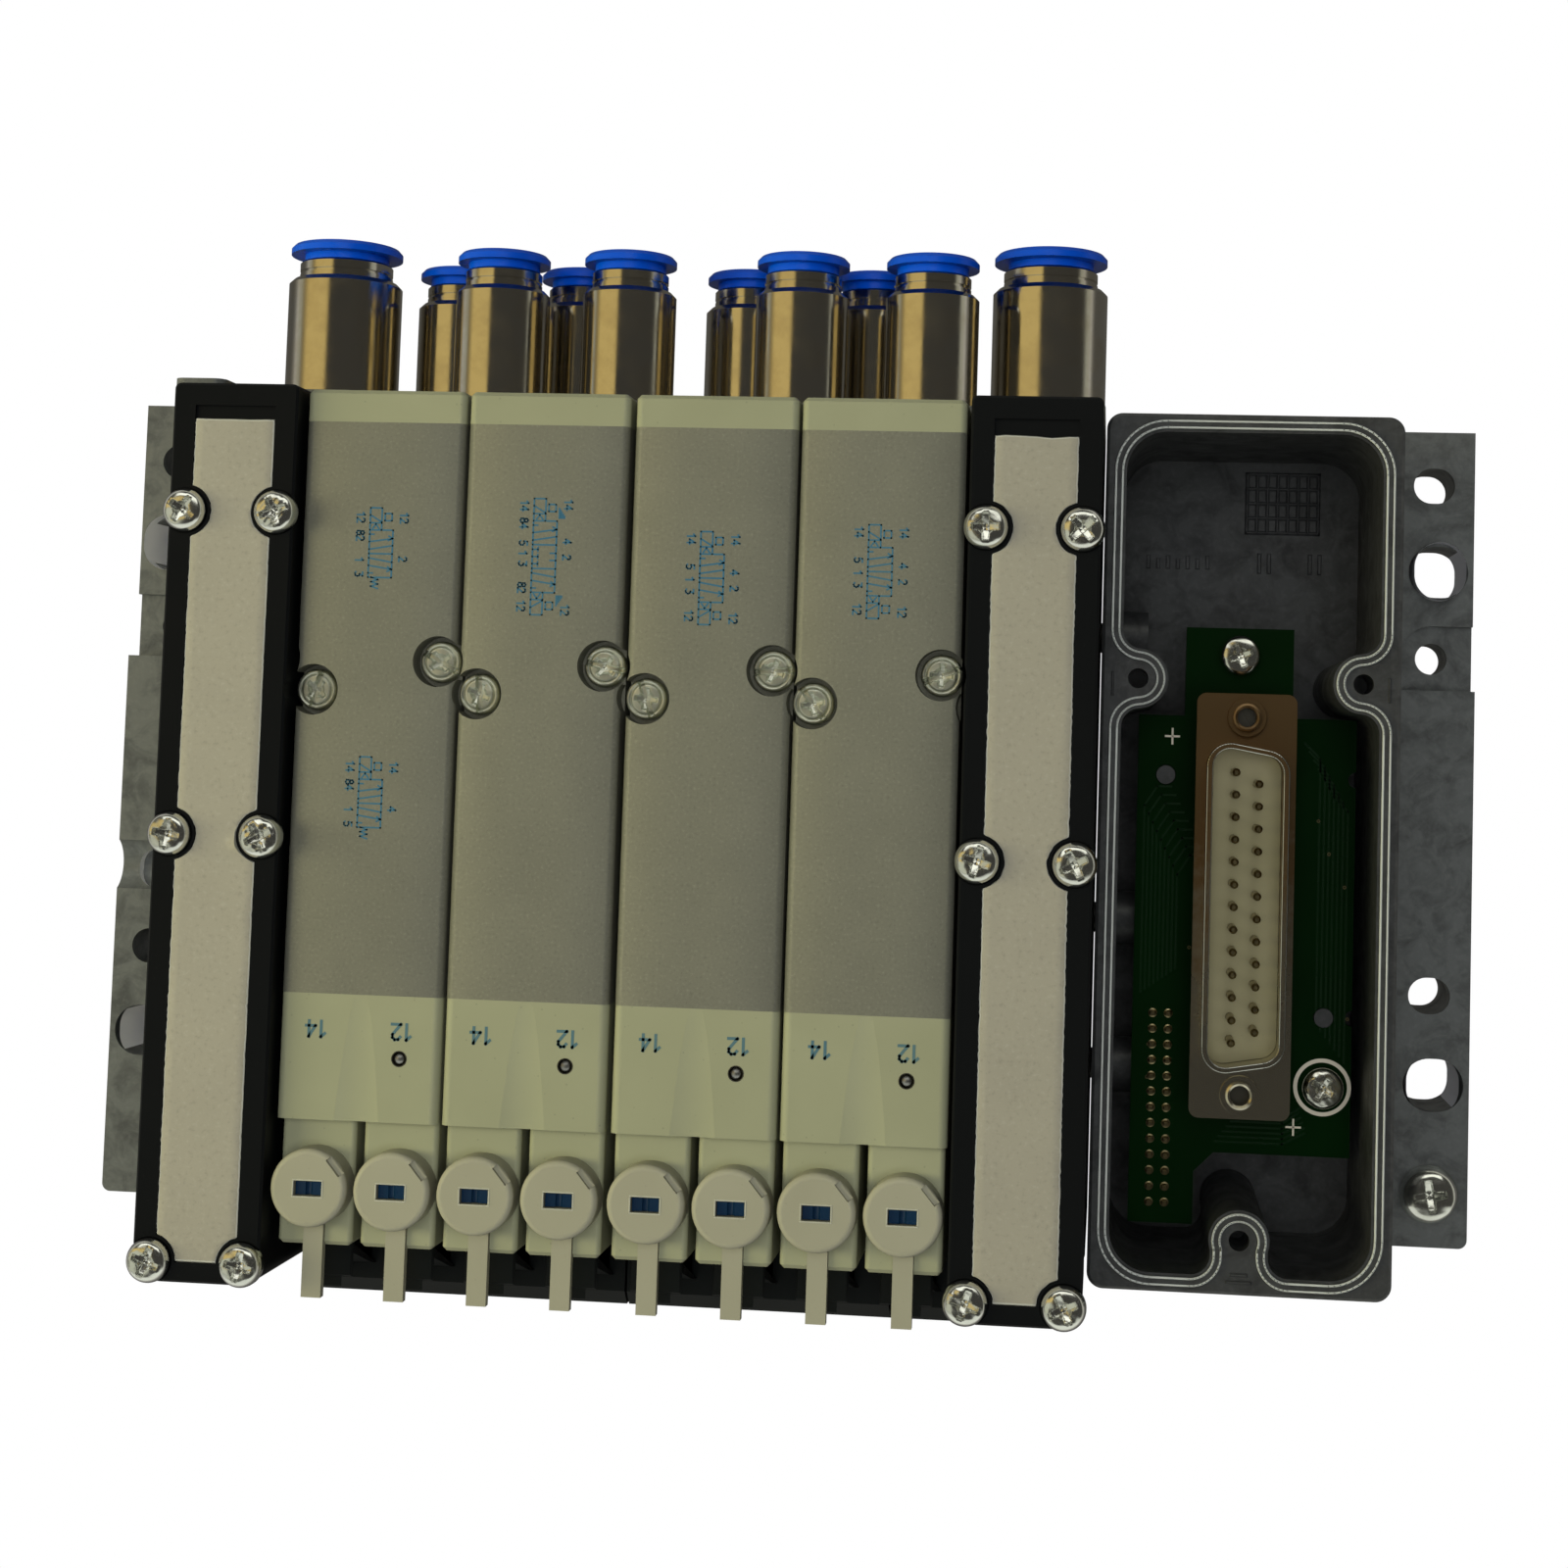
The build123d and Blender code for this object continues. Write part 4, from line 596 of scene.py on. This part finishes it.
# Symbols along each valve, with their port numbers in two columns, and a number for each coil.
def makePrint():
    z = valveTop + printValues["height"]
    lines, digits = [], []
    symbols = [  # valve, y, squares, spring end, pilot marks, lower words, upper words
        (0, 30.8, 2, True, False, (("12", -4.6), ("82", -2.3), ("1", 0.8), ("3", 2.6)),
         (("12", -4.6), ("2", 0.6))),
        (0, -0.6, 2, True, False, (("14", -4.6), ("84", -2.3), ("1", 0.8), ("5", 2.6)),
         (("14", -4.6), ("4", 0.6))),
        (1, 30.9, 3, False, True, (("14", -6.4), ("84", -4.2), ("5", -1.7), ("1", -0.4), ("3", 0.9),
                                   ("82", 3.9), ("12", 6.2)),
         (("14", -6.6), ("4", -2.0), ("2", 0.0), ("12", 6.6))),
        (2, 28.7, 2, False, False, (("14", -4.9), ("5", -1.4), ("1", 0.2), ("3", 1.7), ("12", 4.7)),
         (("14", -4.9), ("4", -0.8), ("2", 1.2), ("12", 4.9))),
        (3, 30.0, 2, False, False, (("14", -4.9), ("5", -1.4), ("1", 0.2), ("3", 1.7), ("12", 4.7)),
         (("14", -4.9), ("4", -0.8), ("2", 1.2), ("12", 4.9))),
    ]
    for number, y, squares, spring, pilots, lower, upper in symbols:
        x = valveX[number] - printValues["square"] / 2
        lines += turnedLines(valveSymbol(squares, spring, pilots), x, y, -90)
        for words, t in ((lower, -1.2), (upper, 4.4)):
            for word, s in words:
                digits += turnedLines(moved(written(word, printValues["symbolDigit"]), s, t), x, y, -90)
    bodyPrint = join(ribbons(lines, printValues["stroke"], z), ribbons(digits, 0.2, z))
    meshPiece("valvePrint", bodyPrint, printMaterial, smooth=None)
    numbers = []
    for x in valveX:
        for text, dx in zip(("14", "12"), printValues["numberX"]):
            numbers += turnedLines(written(text, printValues["digit"]), x + dx, printValues["numberY"], 180)
    meshPiece("pilotNumbers", ribbons(numbers, printValues["numberStroke"], z), numberMaterial, smooth=None)


indicatorValues = {"x": 5.15, "y": -32.1, "ball": 0.8}


# A ball cap (radius times sine, radius times cosine) sunk in a ring coloured dark as painted shadow round the
# ball, one to a valve.
def makeIndicators():
    ball = [(max(math.sin(t), 0.001) * indicatorValues["ball"], math.cos(t) * indicatorValues["ball"] - 0.62)
            for t in np.linspace(0, 1.6, 12)]
    ring = [(0.84, -0.9), (0.85, -0.05), (0.88, 0.02), (0.95, 0.03), (1.0, 0.0), (1.01, -0.3)]
    spots = [(x + indicatorValues["x"], indicatorValues["y"]) for x in valveX]
    meshPiece("indicatorBalls", join(*[placed(lathe(ball, 32), x, y, valveTop) for x, y in spots]),
              finishes["steel"])
    # the rings are near-black as painted shadow round each ball
    meshPiece("indicatorShadowRings", join(*[placed(lathe(ring, 40), x, y, valveTop) for x, y in spots]),
              paintedShadeMaterial)


printMaterial = mouldedMaterial("printBlue", (0.03, 0.12, 0.2), (0.06, 0.14, 0.18), (0.1, 0.2, 0.25),
                                gloss=0.5)
numberMaterial = mouldedMaterial("numberBlue", (0.06, 0.13, 0.16), (0.09, 0.15, 0.15), (0.1, 0.2, 0.2),
                                 gloss=0.5)
# near-black for painted shade: the shadow ring round each indicator ball and the bottom of each jack screw's
# hole
paintedShadeMaterial = mouldedMaterial("paintedShadeDark", (0.03, 0.028, 0.02), (0.02, 0.018, 0.012), (0.1, 0.1, 0.1),
                               gloss=0.3)
makeScrews()
makePrint()
makeIndicators()
print("screws, print and indicators made")


labelValues = {"half": 5.15, "front": 49.0, "back": -57.9, "bite": 3.3, "screwX": 5.9,
               "rows": (35.6, -5.1, -57.8),
               "low": 55.6, "top": 55.96, "rim": 0.16, "steps": 620}


# Paper strip: its half width at each y is bitten by circles round the screws and frayed a little; the
# front end is torn on the right strip, and a fold stands up by one screw of the left one.
def labelShape(side):
    v = labelValues
    rng = np.random.default_rng(3 + side)
    ys = np.linspace(v["back"], v["front"], v["steps"])
    half = np.full_like(ys, v["half"])
    for row in v["rows"]:
        inside = np.clip(v["bite"] ** 2 - (ys - row) ** 2, 0, None)
        half = np.where(inside > 0, np.minimum(half, v["screwX"] - np.sqrt(inside)), half)
    fray = [np.interp(ys, np.linspace(ys[0], ys[-1], 260), rng.normal(0, 0.035, 260)) for _ in range(2)]
    left, right = -half + fray[0], half + fray[1]
    marks = np.array([0, 0, v["rim"], 1.2, 3.0, 5.0, 7.0, 9.1, 10.3 - v["rim"], 10.3, 10.3]) / 10.3
    x = left[:, None] + (right - left)[:, None] * marks[None, :]
    tear = 0.22 if side == 1 else 0.05
    torn = np.abs(rng.normal(0, tear, len(marks))) + 1.6 + 0.3 * side
    reach = np.clip((ys - (v["front"] - 6.0)) / 6.0, 0, 1)[:, None]
    y = ys[:, None] - reach * torn[None, :]
    z = np.full_like(x, v["top"])
    z[:, [0, -1]] = v["low"]
    z[:, [1, -2]] = v["top"] - 0.1
    z[[0, -1], :] = v["low"]
    z = z + 0.02 * np.sin(ys * 0.7)[:, None] * (z > v["low"] + 0.3)
    if side == 0:
        fold = np.exp(-((x - 3.1) / 0.9) ** 2 - ((y + 6.1) / 1.0) ** 2)
        z = z + 0.8 * fold * (z > v["low"] + 0.3)
    return np.stack([x + supplyX[side], y, np.minimum(z, 57.0)], -1).reshape(-1, 3), gridFaces(*x.shape)[:,
            ::-1].tolist()


# Both strips in one piece. The outer columns and end rows of its grid are the pale cut edge.
def makeLabels():
    piece = meshPiece("labelPaper", join(labelShape(0), labelShape(1)), finishes["label"],
                      smooth=50)
    piece.data.materials.append(labelEdge)
    columns = 10
    for face in piece.data.polygons:
        column = face.index % columns
        row = face.index // columns % (labelValues["steps"] - 1)
        if column in (0, 1, columns - 2, columns - 1) or row < 2 or row > labelValues["steps"] - 4:
            face.material_index = 1
    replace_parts(piece, "label_strips")


boardValues = {"top": 34.02, "plus": ((54.0, 11.0), (70.4, -38.4)), "ring": (73.95, -33.2),
               "headerX": (52.25, 54.25),
               "headerY": -48.6, "pitch": 2.0}


# Flat ring between two radii.
def ringShape(inner, outer, z, count=48):
    return lathe([(inner, z), (outer, z)], count)


# Two plus marks and a ring, tracks that bend once or twice, two columns of pads, and loose vias.
def makeBoard():
    v = boardValues
    z = v["top"]
    marks = []
    for x, y in v["plus"]:
        marks += [[(x - 0.85, y), (x + 0.85, y)], [(x, y - 0.95), (x, y + 0.95)]]
    white = join(ribbons(marks, 0.25, z + 0.03), placed(ringShape(3.15, 3.65, z + 0.03), *v["ring"]))
    meshPiece("boardPrint", white, boardWhite, smooth=None)
    rng = np.random.default_rng(5)
    tracks = []
    for n in range(9):
        x = 50.6 + 0.55 * n
        tracks.append([(x, -22.0 + 0.4 * n), (x, 2.0 - 1.1 * n), (x + 1.6, 4.5 - 1.1 * n),
                       (x + 3.4, 4.5 - 1.1 * n)])
    for n in range(7):
        x = 76.6 - 0.6 * n
        tracks.append([(x, -30.0 + 0.8 * n), (x, 2.0 + 1.1 * n), (x - 2.0, 4.0 + 1.1 * n)])
    for n in range(6):
        y = -40.6 + 0.65 * n
        tracks.append([(60.5 + 0.5 * n, y), (69.0, y), (71.0 + rng.uniform(0, 1), y + 1.5)])
    meshPiece("boardTracks", ribbons(tracks, 0.28, z), boardTrack, smooth=None)
    pads = [placed(lathe([(0.28, z + 0.0), (0.4, z + 0.08), (0.58, z + 0.02)], 16), x,
                   v["headerY"] + v["pitch"] * n)
            for x in v["headerX"] for n in range(13)]
    vias = [placed(ringShape(0.1, 0.24, z + 0.02, 12), rng.uniform(50.5, 77.0), y) for y in np.linspace(-37,
            9, 12)]
    meshPiece("boardPads", join(*pads, *vias), finishes["contact"])


housingValues = {"floor": 18.0, "cells": (6, 4), "gridX": (63.8, 73.4), "gridY": (39.2, 47.2), "line": 0.34,
                 "rise": 0.4}


# Raised bar with its upper edges drawn in by 0.6 of its rise.
def bar(x0, x1, y0, y1, z0, z1):
    d = (z1 - z0) * 0.6
    p = [(x0, y0, z0), (x1, y0, z0), (x1, y1, z0), (x0, y1, z0),
         (x0 + d, y0 + d, z1), (x1 - d, y0 + d, z1), (x1 - d, y1 - d, z1), (x0 + d, y1 - d, z1)]
    return np.array(p, float), [[4, 5, 6, 7], [0, 1, 5, 4], [1, 2, 6, 5], [2, 3, 7, 6], [3, 0, 4, 7]]


# A grid of crossed bars, two rows of short bars, and pips on the rim.
def makeHousingMarks():
    v = housingValues
    (x0, x1), (y0, y1), z = v["gridX"], v["gridY"], v["floor"]
    bars = []
    w = v["line"] / 2 + 0.12
    for x in np.linspace(x0, x1, v["cells"][0] + 2):
        bars.append(bar(x - w, x + w, y0 - w, y1 + w, z, z + v["rise"]))
    for y in np.linspace(y0, y1, v["cells"][1] + 1):
        bars.append(bar(x0 - w, x1 + w, y - w, y + w, z, z + v["rise"]))
    for n, x in enumerate(np.linspace(50.6, 58.6, 7)):
        bars.append(bar(x - 0.3, x + 0.3, 34.0, 35.9 - 0.4 * (n % 2), z, z + 0.2))
    for x in (65.6, 66.9, 72.4, 73.7):
        bars.append(bar(x - 0.3, x + 0.3, 33.6, 36.4, z, z + 0.25))
    for x in (46.1, 80.0):
        bars.append(bar(x - 0.25, x + 0.25, 15.6, 18.8, 48.4, 48.75))
    for x0, x1, y in ((61.4, 64.7, -55.3), (61.9, 64.2, -54.4)):
        bars.append(bar(x0, x1, y - 0.3, y + 0.3, 48.4, 48.75))
    meshPiece("housingMarks", join(*bars), finishes["cast_housing"], smooth=20)


connectorValues = {"midX": 63.05, "jacks": (13.52, -33.52), "inner": 1.25,
                   "outer": 2.45}


# A turned collar at each jack screw, and a dark disc at the bottom of its hole as painted shade.
def makeConnectorDetails():
    v = connectorValues
    rings = []
    for y in v["jacks"]:
        rings.append(placed(lathe([(v["inner"], 41.2), (v["inner"], 43.35), (1.5, 43.5), (1.75, 43.42),
                                   (1.8, 42.95),
                                   (2.1, 42.9), (2.35, 42.75), (v["outer"], 42.5)], 48), v["midX"], y))
    meshPiece("jackRings", join(*rings), finishes["tin_shell"], smooth=40)
    # dark disc at the bottom of each jack screw's hole: painted shade
    dark = [placed(lathe([(0.01, 41.3), (1.24, 41.3)], 24), v["midX"], y) for y in v["jacks"]]
    meshPiece("jackHoleShade", join(*dark), paintedShadeMaterial)


# Ends, in millimetres, of the edges where a node's flat face at a height meets a side face.
def rimEdges(name, height):
    shape = bmesh.new()
    shape.from_mesh(nodes[name].data)
    bmesh.ops.remove_doubles(shape, verts=shape.verts, dist=1e-6)
    level = height * mm
    ends = [[tuple(v.co) for v in edge.verts] for edge in shape.edges
            if all(abs(v.co.z - level) < 2e-5 for v in edge.verts)
            and sum(face.normal.z > 0.9 for face in edge.link_faces) == 1]
    shape.free()
    return np.array(ends) / mm


# Six-sided rods along edges: each section is the edge's own end plus a ring in the plane across it.
def beads(ends, radius, drop):
    p, q = ends[:, 0], ends[:, 1]
    along = (q - p) / np.linalg.norm(q - p, axis=1)[:, None]
    side = np.cross(along, [0, 0, 1.0])
    a = np.linspace(0, 2 * math.pi, 6, endpoint=False)
    ring = radius * (np.cos(a)[None, :, None] * side[:, None, :] + np.sin(a)[None, :,
            None] * np.array([0, 0, 1.0]))
    reach = along[:, None, :] * radius * 0.4
    points = np.stack([p[:, None, :] - reach + ring, q[:, None, :] + reach + ring], 1) - [0, 0, drop]
    one = np.array([[k, 6 + k, 6 + (k + 1) % 6, (k + 1) % 6] for k in range(6)])
    faces = (one[None] + 12 * np.arange(len(p))[:, None, None]).reshape(-1, 4)
    return points.reshape(-1, 3), faces[:, ::-1].tolist()


# Beads along the housing's rim in a pale colour as a painted highlight, and bright metal beads along the
# shell's rim.
def makeLipHighlightAndShellRim():
    lip = beads(rimEdges("connector_housing", rowValues["rim"]), 0.17, 0.12)
    meshPiece("lipPaintedHighlight", lip, paintedHighlight, smooth=80)
    shell = beads(rimEdges("connector_shell", 48.4), 0.16, 0.16)
    meshPiece("shellRim", shell, finishes["bright_screw"], smooth=80)


boreValues = {"x": (-90.65, 90.65), "length": 8.1, "width": 7.1, "y": 35.0, "smallX": (-89.95, 89.95),
              "smallLength": 5.6,
              "smallWidth": 4.9, "smallY": 12.0, "low": 0.4, "high": 12.2}


# Wall of an oblong hole, seen from inside: a ring stretched along Y, carried from low to high. Known
# faults: the flanges are 10 high in front of y 18.5, so a wall up to 12.2 stands proud there, and the
# small holes are really at y -23 and 47.
def bore(x, y, length, width, low, high):
    a = np.linspace(0, 2 * math.pi, 64, endpoint=False)
    r = width / 2 - 0.04
    ring = np.stack([x + r * np.cos(a), y + r * np.sin(a) + np.sign(np.sin(a)) * (length - width) / 2], 1)
    points = np.concatenate([np.column_stack([ring, np.full(64, z)]) for z in (low, high)])
    return points, gridFaces(2, 64, closeColumns=True)[:, ::-1].tolist()


# Near-white walls for the fixing holes.
def makeBores():
    v = boreValues
    walls = [bore(x, y, v["length"], v["width"], v["low"], v["high"]) for x in v["x"] for y in (-v["y"],
            v["y"])]
    walls += [bore(x, y, v["smallLength"], v["smallWidth"], v["low"], v["high"])
              for x in v["smallX"] for y in (-v["smallY"], v["smallY"])]
    meshPiece("paleWallBores", join(*walls), paleWall, smooth=40)


plugValues = {"x": (-5.25, 5.25), "half": 4.2, "back": -61.6, "front": -55.8, "low": 36.0, "high": 46.5,
              "frameY": -48.2, "frameTop": 55.7, "windowX": 1.775, "windowY": 0.93, "line": 0.22}


# A stepped block behind each coil, and four thin bars round each cover window.
def makePlugs():
    v = plugValues
    plugs, frames = [], []
    for x in (mid + dx for mid in valveX for dx in v["x"]):
        plugs.append(bar(x - v["half"], x + v["half"], v["back"], v["front"], v["low"], v["high"] - 0.3))
        plugs.append(bar(x - v["half"] + 0.9, x + v["half"] - 0.9, v["back"] + 0.9, v["front"],
                         v["high"] - 0.4, v["high"]))
        w, h, t = v["windowX"], v["windowY"], v["line"]
        for x0, x1, y0, y1 in ((-w - t, w + t, h, h + t), (-w - t, w + t, -h - t, -h), (-w - t, -w, -h, h),
                               (w, w + t, -h, h)):
            frames.append(bar(x + x0, x + x1, v["frameY"] + y0, v["frameY"] + y1, v["frameTop"] - 0.05,
                              v["frameTop"] + 0.06))
    meshPiece("coilPlugs", join(*plugs), finishes["black_module"], smooth=20)
    meshPiece("windowFrames", join(*frames), frameLight, smooth=20)


labelEdge = mouldedMaterial("labelEdge", (0.42, 0.42, 0.36), (0.38, 0.38, 0.32), (0.3, 0.3, 0.25), gloss=0.6)
boardWhite = mouldedMaterial("boardWhite", (0.55, 0.5, 0.4), (0.45, 0.42, 0.33), (0.2, 0.2, 0.1), gloss=0.5)
boardTrack = mouldedMaterial("boardTrack", (0.001, 0.012, 0.002), (0.001, 0.008, 0.002), (0.01, 0.03, 0.01),
                             gloss=0.25)
# pale grey for the painted highlight along the housing's lip
paintedHighlight = mouldedMaterial("paintedHighlightLip", (0.42, 0.44, 0.4), (0.5, 0.52, 0.48), (0.25, 0.26, 0.24))
paleWall = mouldedMaterial("paleWallBore", (0.78, 0.78, 0.82), (0.8, 0.8, 0.84), (0.6, 0.6, 0.62))
frameLight = mouldedMaterial("frameLight", (0.42, 0.42, 0.34), (0.38, 0.38, 0.3), (0.3, 0.3, 0.2))
makeLabels()
makeBoard()
makeHousingMarks()
makeConnectorDetails()
makeLipHighlightAndShellRim()
makeBores()
makePlugs()
print("labels, board, housing and connector details made")


cameraValues = {"place": (45.9, 7.5, 354.5), "turn": (3.71, 5.66, 1.39), "lens": 56.25,
                "shift": (-0.055, -0.12)}
lamps = {  # name: (place, aim, size, watts, colour)
    "softTop": ((80, 40, 950), (0, 0, 30), (700, 560), 5.5, (0.96, 0.98, 1.0)),
    "leftWarm": ((-560, 20, 330), (0, 0, 20), (160, 500), 3.6, (1.0, 0.95, 0.6)),
}


# Places an object and turns its -Z towards a point.
def aimed(obj, place, aim):
    direction = np.array(aim, float) - np.array(place, float)
    obj.location = [v * mm for v in place]
    obj.rotation_mode = "QUATERNION"
    obj.rotation_quaternion = Vector(direction).to_track_quat("-Z", "Y")


# One camera, its turn given in degrees about X, Y and Z.
def makeCamera():
    data = bpy.data.cameras.new("camera")
    data.sensor_width, data.lens = 36.0, cameraValues["lens"]
    data.shift_x, data.shift_y = cameraValues["shift"]
    data.clip_start, data.clip_end = 0.01, 20.0
    camera = bpy.data.objects.new("camera", data)
    camera.location = [v * mm for v in cameraValues["place"]]
    camera.rotation_mode = "ZYX"
    camera.rotation_euler = [math.radians(a) for a in cameraValues["turn"]]
    bpy.context.scene.collection.objects.link(camera)
    bpy.context.scene.camera = camera


# Area lamps from the list, each aimed at its own point.
def makeLamps():
    for name, (place, aim, size, watts, colour) in lamps.items():
        data = bpy.data.lights.new(name, "AREA")
        data.shape, data.size, data.size_y = "RECTANGLE", size[0] * mm, size[1] * mm
        data.energy, data.color = watts, colour
        lamp = bpy.data.objects.new(name, data)
        lamp.visible_glossy = False  # the room in makeWorld is what shines in metal
        bpy.context.scene.collection.objects.link(lamp)
        aimed(lamp, place, aim)


# White to the camera, brownish grey in reflections, and plain white where it lights the part.
def makeFloor():
    size = 6.0
    points = np.array([(-size, -size, 0), (size, -size, 0), (size, size, 0), (-size, size, 0)], float)
    mesh = bpy.data.meshes.new("floor")
    mesh.from_pydata(points.tolist(), [], [(0, 1, 2, 3)])
    floor = bpy.data.objects.new("floor", mesh)
    bpy.context.scene.collection.objects.link(floor)
    floor.location.z = cadBox[0].z - 0.0002
    material, tree, shader, place = startMaterial("floorWhite", (0.5, 0.5, 0.47), 0.9)
    path = addNode(tree, "LightPath")
    glow = addNode(tree, "Emission", Color=rgb(1, 1, 1), Strength=1.0)
    far = ramp(tree, addNode(tree, "VectorMath", {"operation": "LENGTH"}, Vector=place).outputs["Value"],
               0.14, 0.3, 0.1, 0.5)  # in reflections the floor is dark close to the part
    sheen = addNode(tree, "Emission", Color=rgb(1.0, 0.97, 0.88), Strength=far)
    mirrored, blend = addNode(tree, "MixShader"), addNode(tree, "MixShader")
    for mixer, factor, first, second in (
            (mirrored, path.outputs["Is Glossy Ray"], shader.outputs[0], sheen.outputs[0]),
            (blend, path.outputs["Is Camera Ray"], mirrored.outputs[0], glow.outputs[0])):
        for index, value in enumerate((factor, first, second)):
            tree.links.new(value, mixer.inputs[index])
    tree.links.new(blend.outputs[0], tree.nodes["Material Output"].inputs["Surface"])
    mesh.materials.append(material)


# what metal mirrors: "room" overhead, "ring" round the horizon, the warm "window" at the left, the "wall" in
# front and the "lamp" behind
skyValues = {"horizon": 0.26, "zenith": 0.06, "room": (0.05, 0.048, 0.042), "ring": (0.42, 0.42, 0.35),
             "window": (0.7, 0.53, 0.2), "panel": (0.55, 0.56, 0.44), "wall": (0.8, 0.82,
                     0.72), "lamp": (1.3, 1.3, 1.15)}


# White to the camera. Other rays see a pale ring round the horizon; reflections see the room.
def makeWorld():
    world = bpy.data.worlds.new("world")
    bpy.context.scene.world = world
    world.use_nodes = True
    tree = world.node_tree
    v = skyValues
    way = addNode(tree, "SeparateXYZ", Vector=addNode(tree, "TexCoord").outputs["Generated"])
    path = addNode(tree, "LightPath")
    x, y, z = (way.outputs[axis] for axis in "XYZ")

    # 1 between low and high, fading to 0 on either side.
    def band(value, low, high, fade):
        return mathNode(tree, "MULTIPLY", ramp(tree, value, low - fade, low + fade),
                        ramp(tree, value, high - fade, high + fade, 1.0, 0.0))

    window = mathNode(tree, "MULTIPLY", band(x, -0.93, -0.3, 0.05), band(y, 0.02, 0.36, 0.04))
    panel = mathNode(tree, "MULTIPLY", band(x, -0.9, -0.35, 0.05), band(y, -0.5, 0.02, 0.05))
    wall = mathNode(tree, "MULTIPLY", ramp(tree, y, -0.45, -0.65), ramp(tree, z, 0.85, 0.7))
    lamp = mathNode(tree, "MULTIPLY", band(y, 0.45, 0.75, 0.03), band(x, -0.55, 0.55, 0.03))
    room = mixColour(tree, ramp(tree, z, 0.28, 0.12), rgb(*v["room"]), rgb(*v["ring"]))
    for share, light in ((wall, "wall"), (window, "window"), (panel, "panel"), (lamp, "lamp")):
        room = mixColour(tree, share, room, rgb(*v[light]))
    level = ramp(tree, z, 0.1, 0.55, v["horizon"], v["zenith"])
    ambient = mixColour(tree, level, rgb(0, 0, 0), rgb(1.0, 1.0, 0.96))
    colour = mixColour(tree, path.outputs["Is Glossy Ray"], ambient, room)
    colour = mixColour(tree, path.outputs["Is Camera Ray"], colour, rgb(1, 1, 1))
    tree.links.new(colour, tree.nodes["Background"].inputs["Color"])


makeCamera()
makeLamps()
makeFloor()
makeWorld()
scene = bpy.context.scene
scene.view_settings.view_transform = "Standard"
print("scene done")
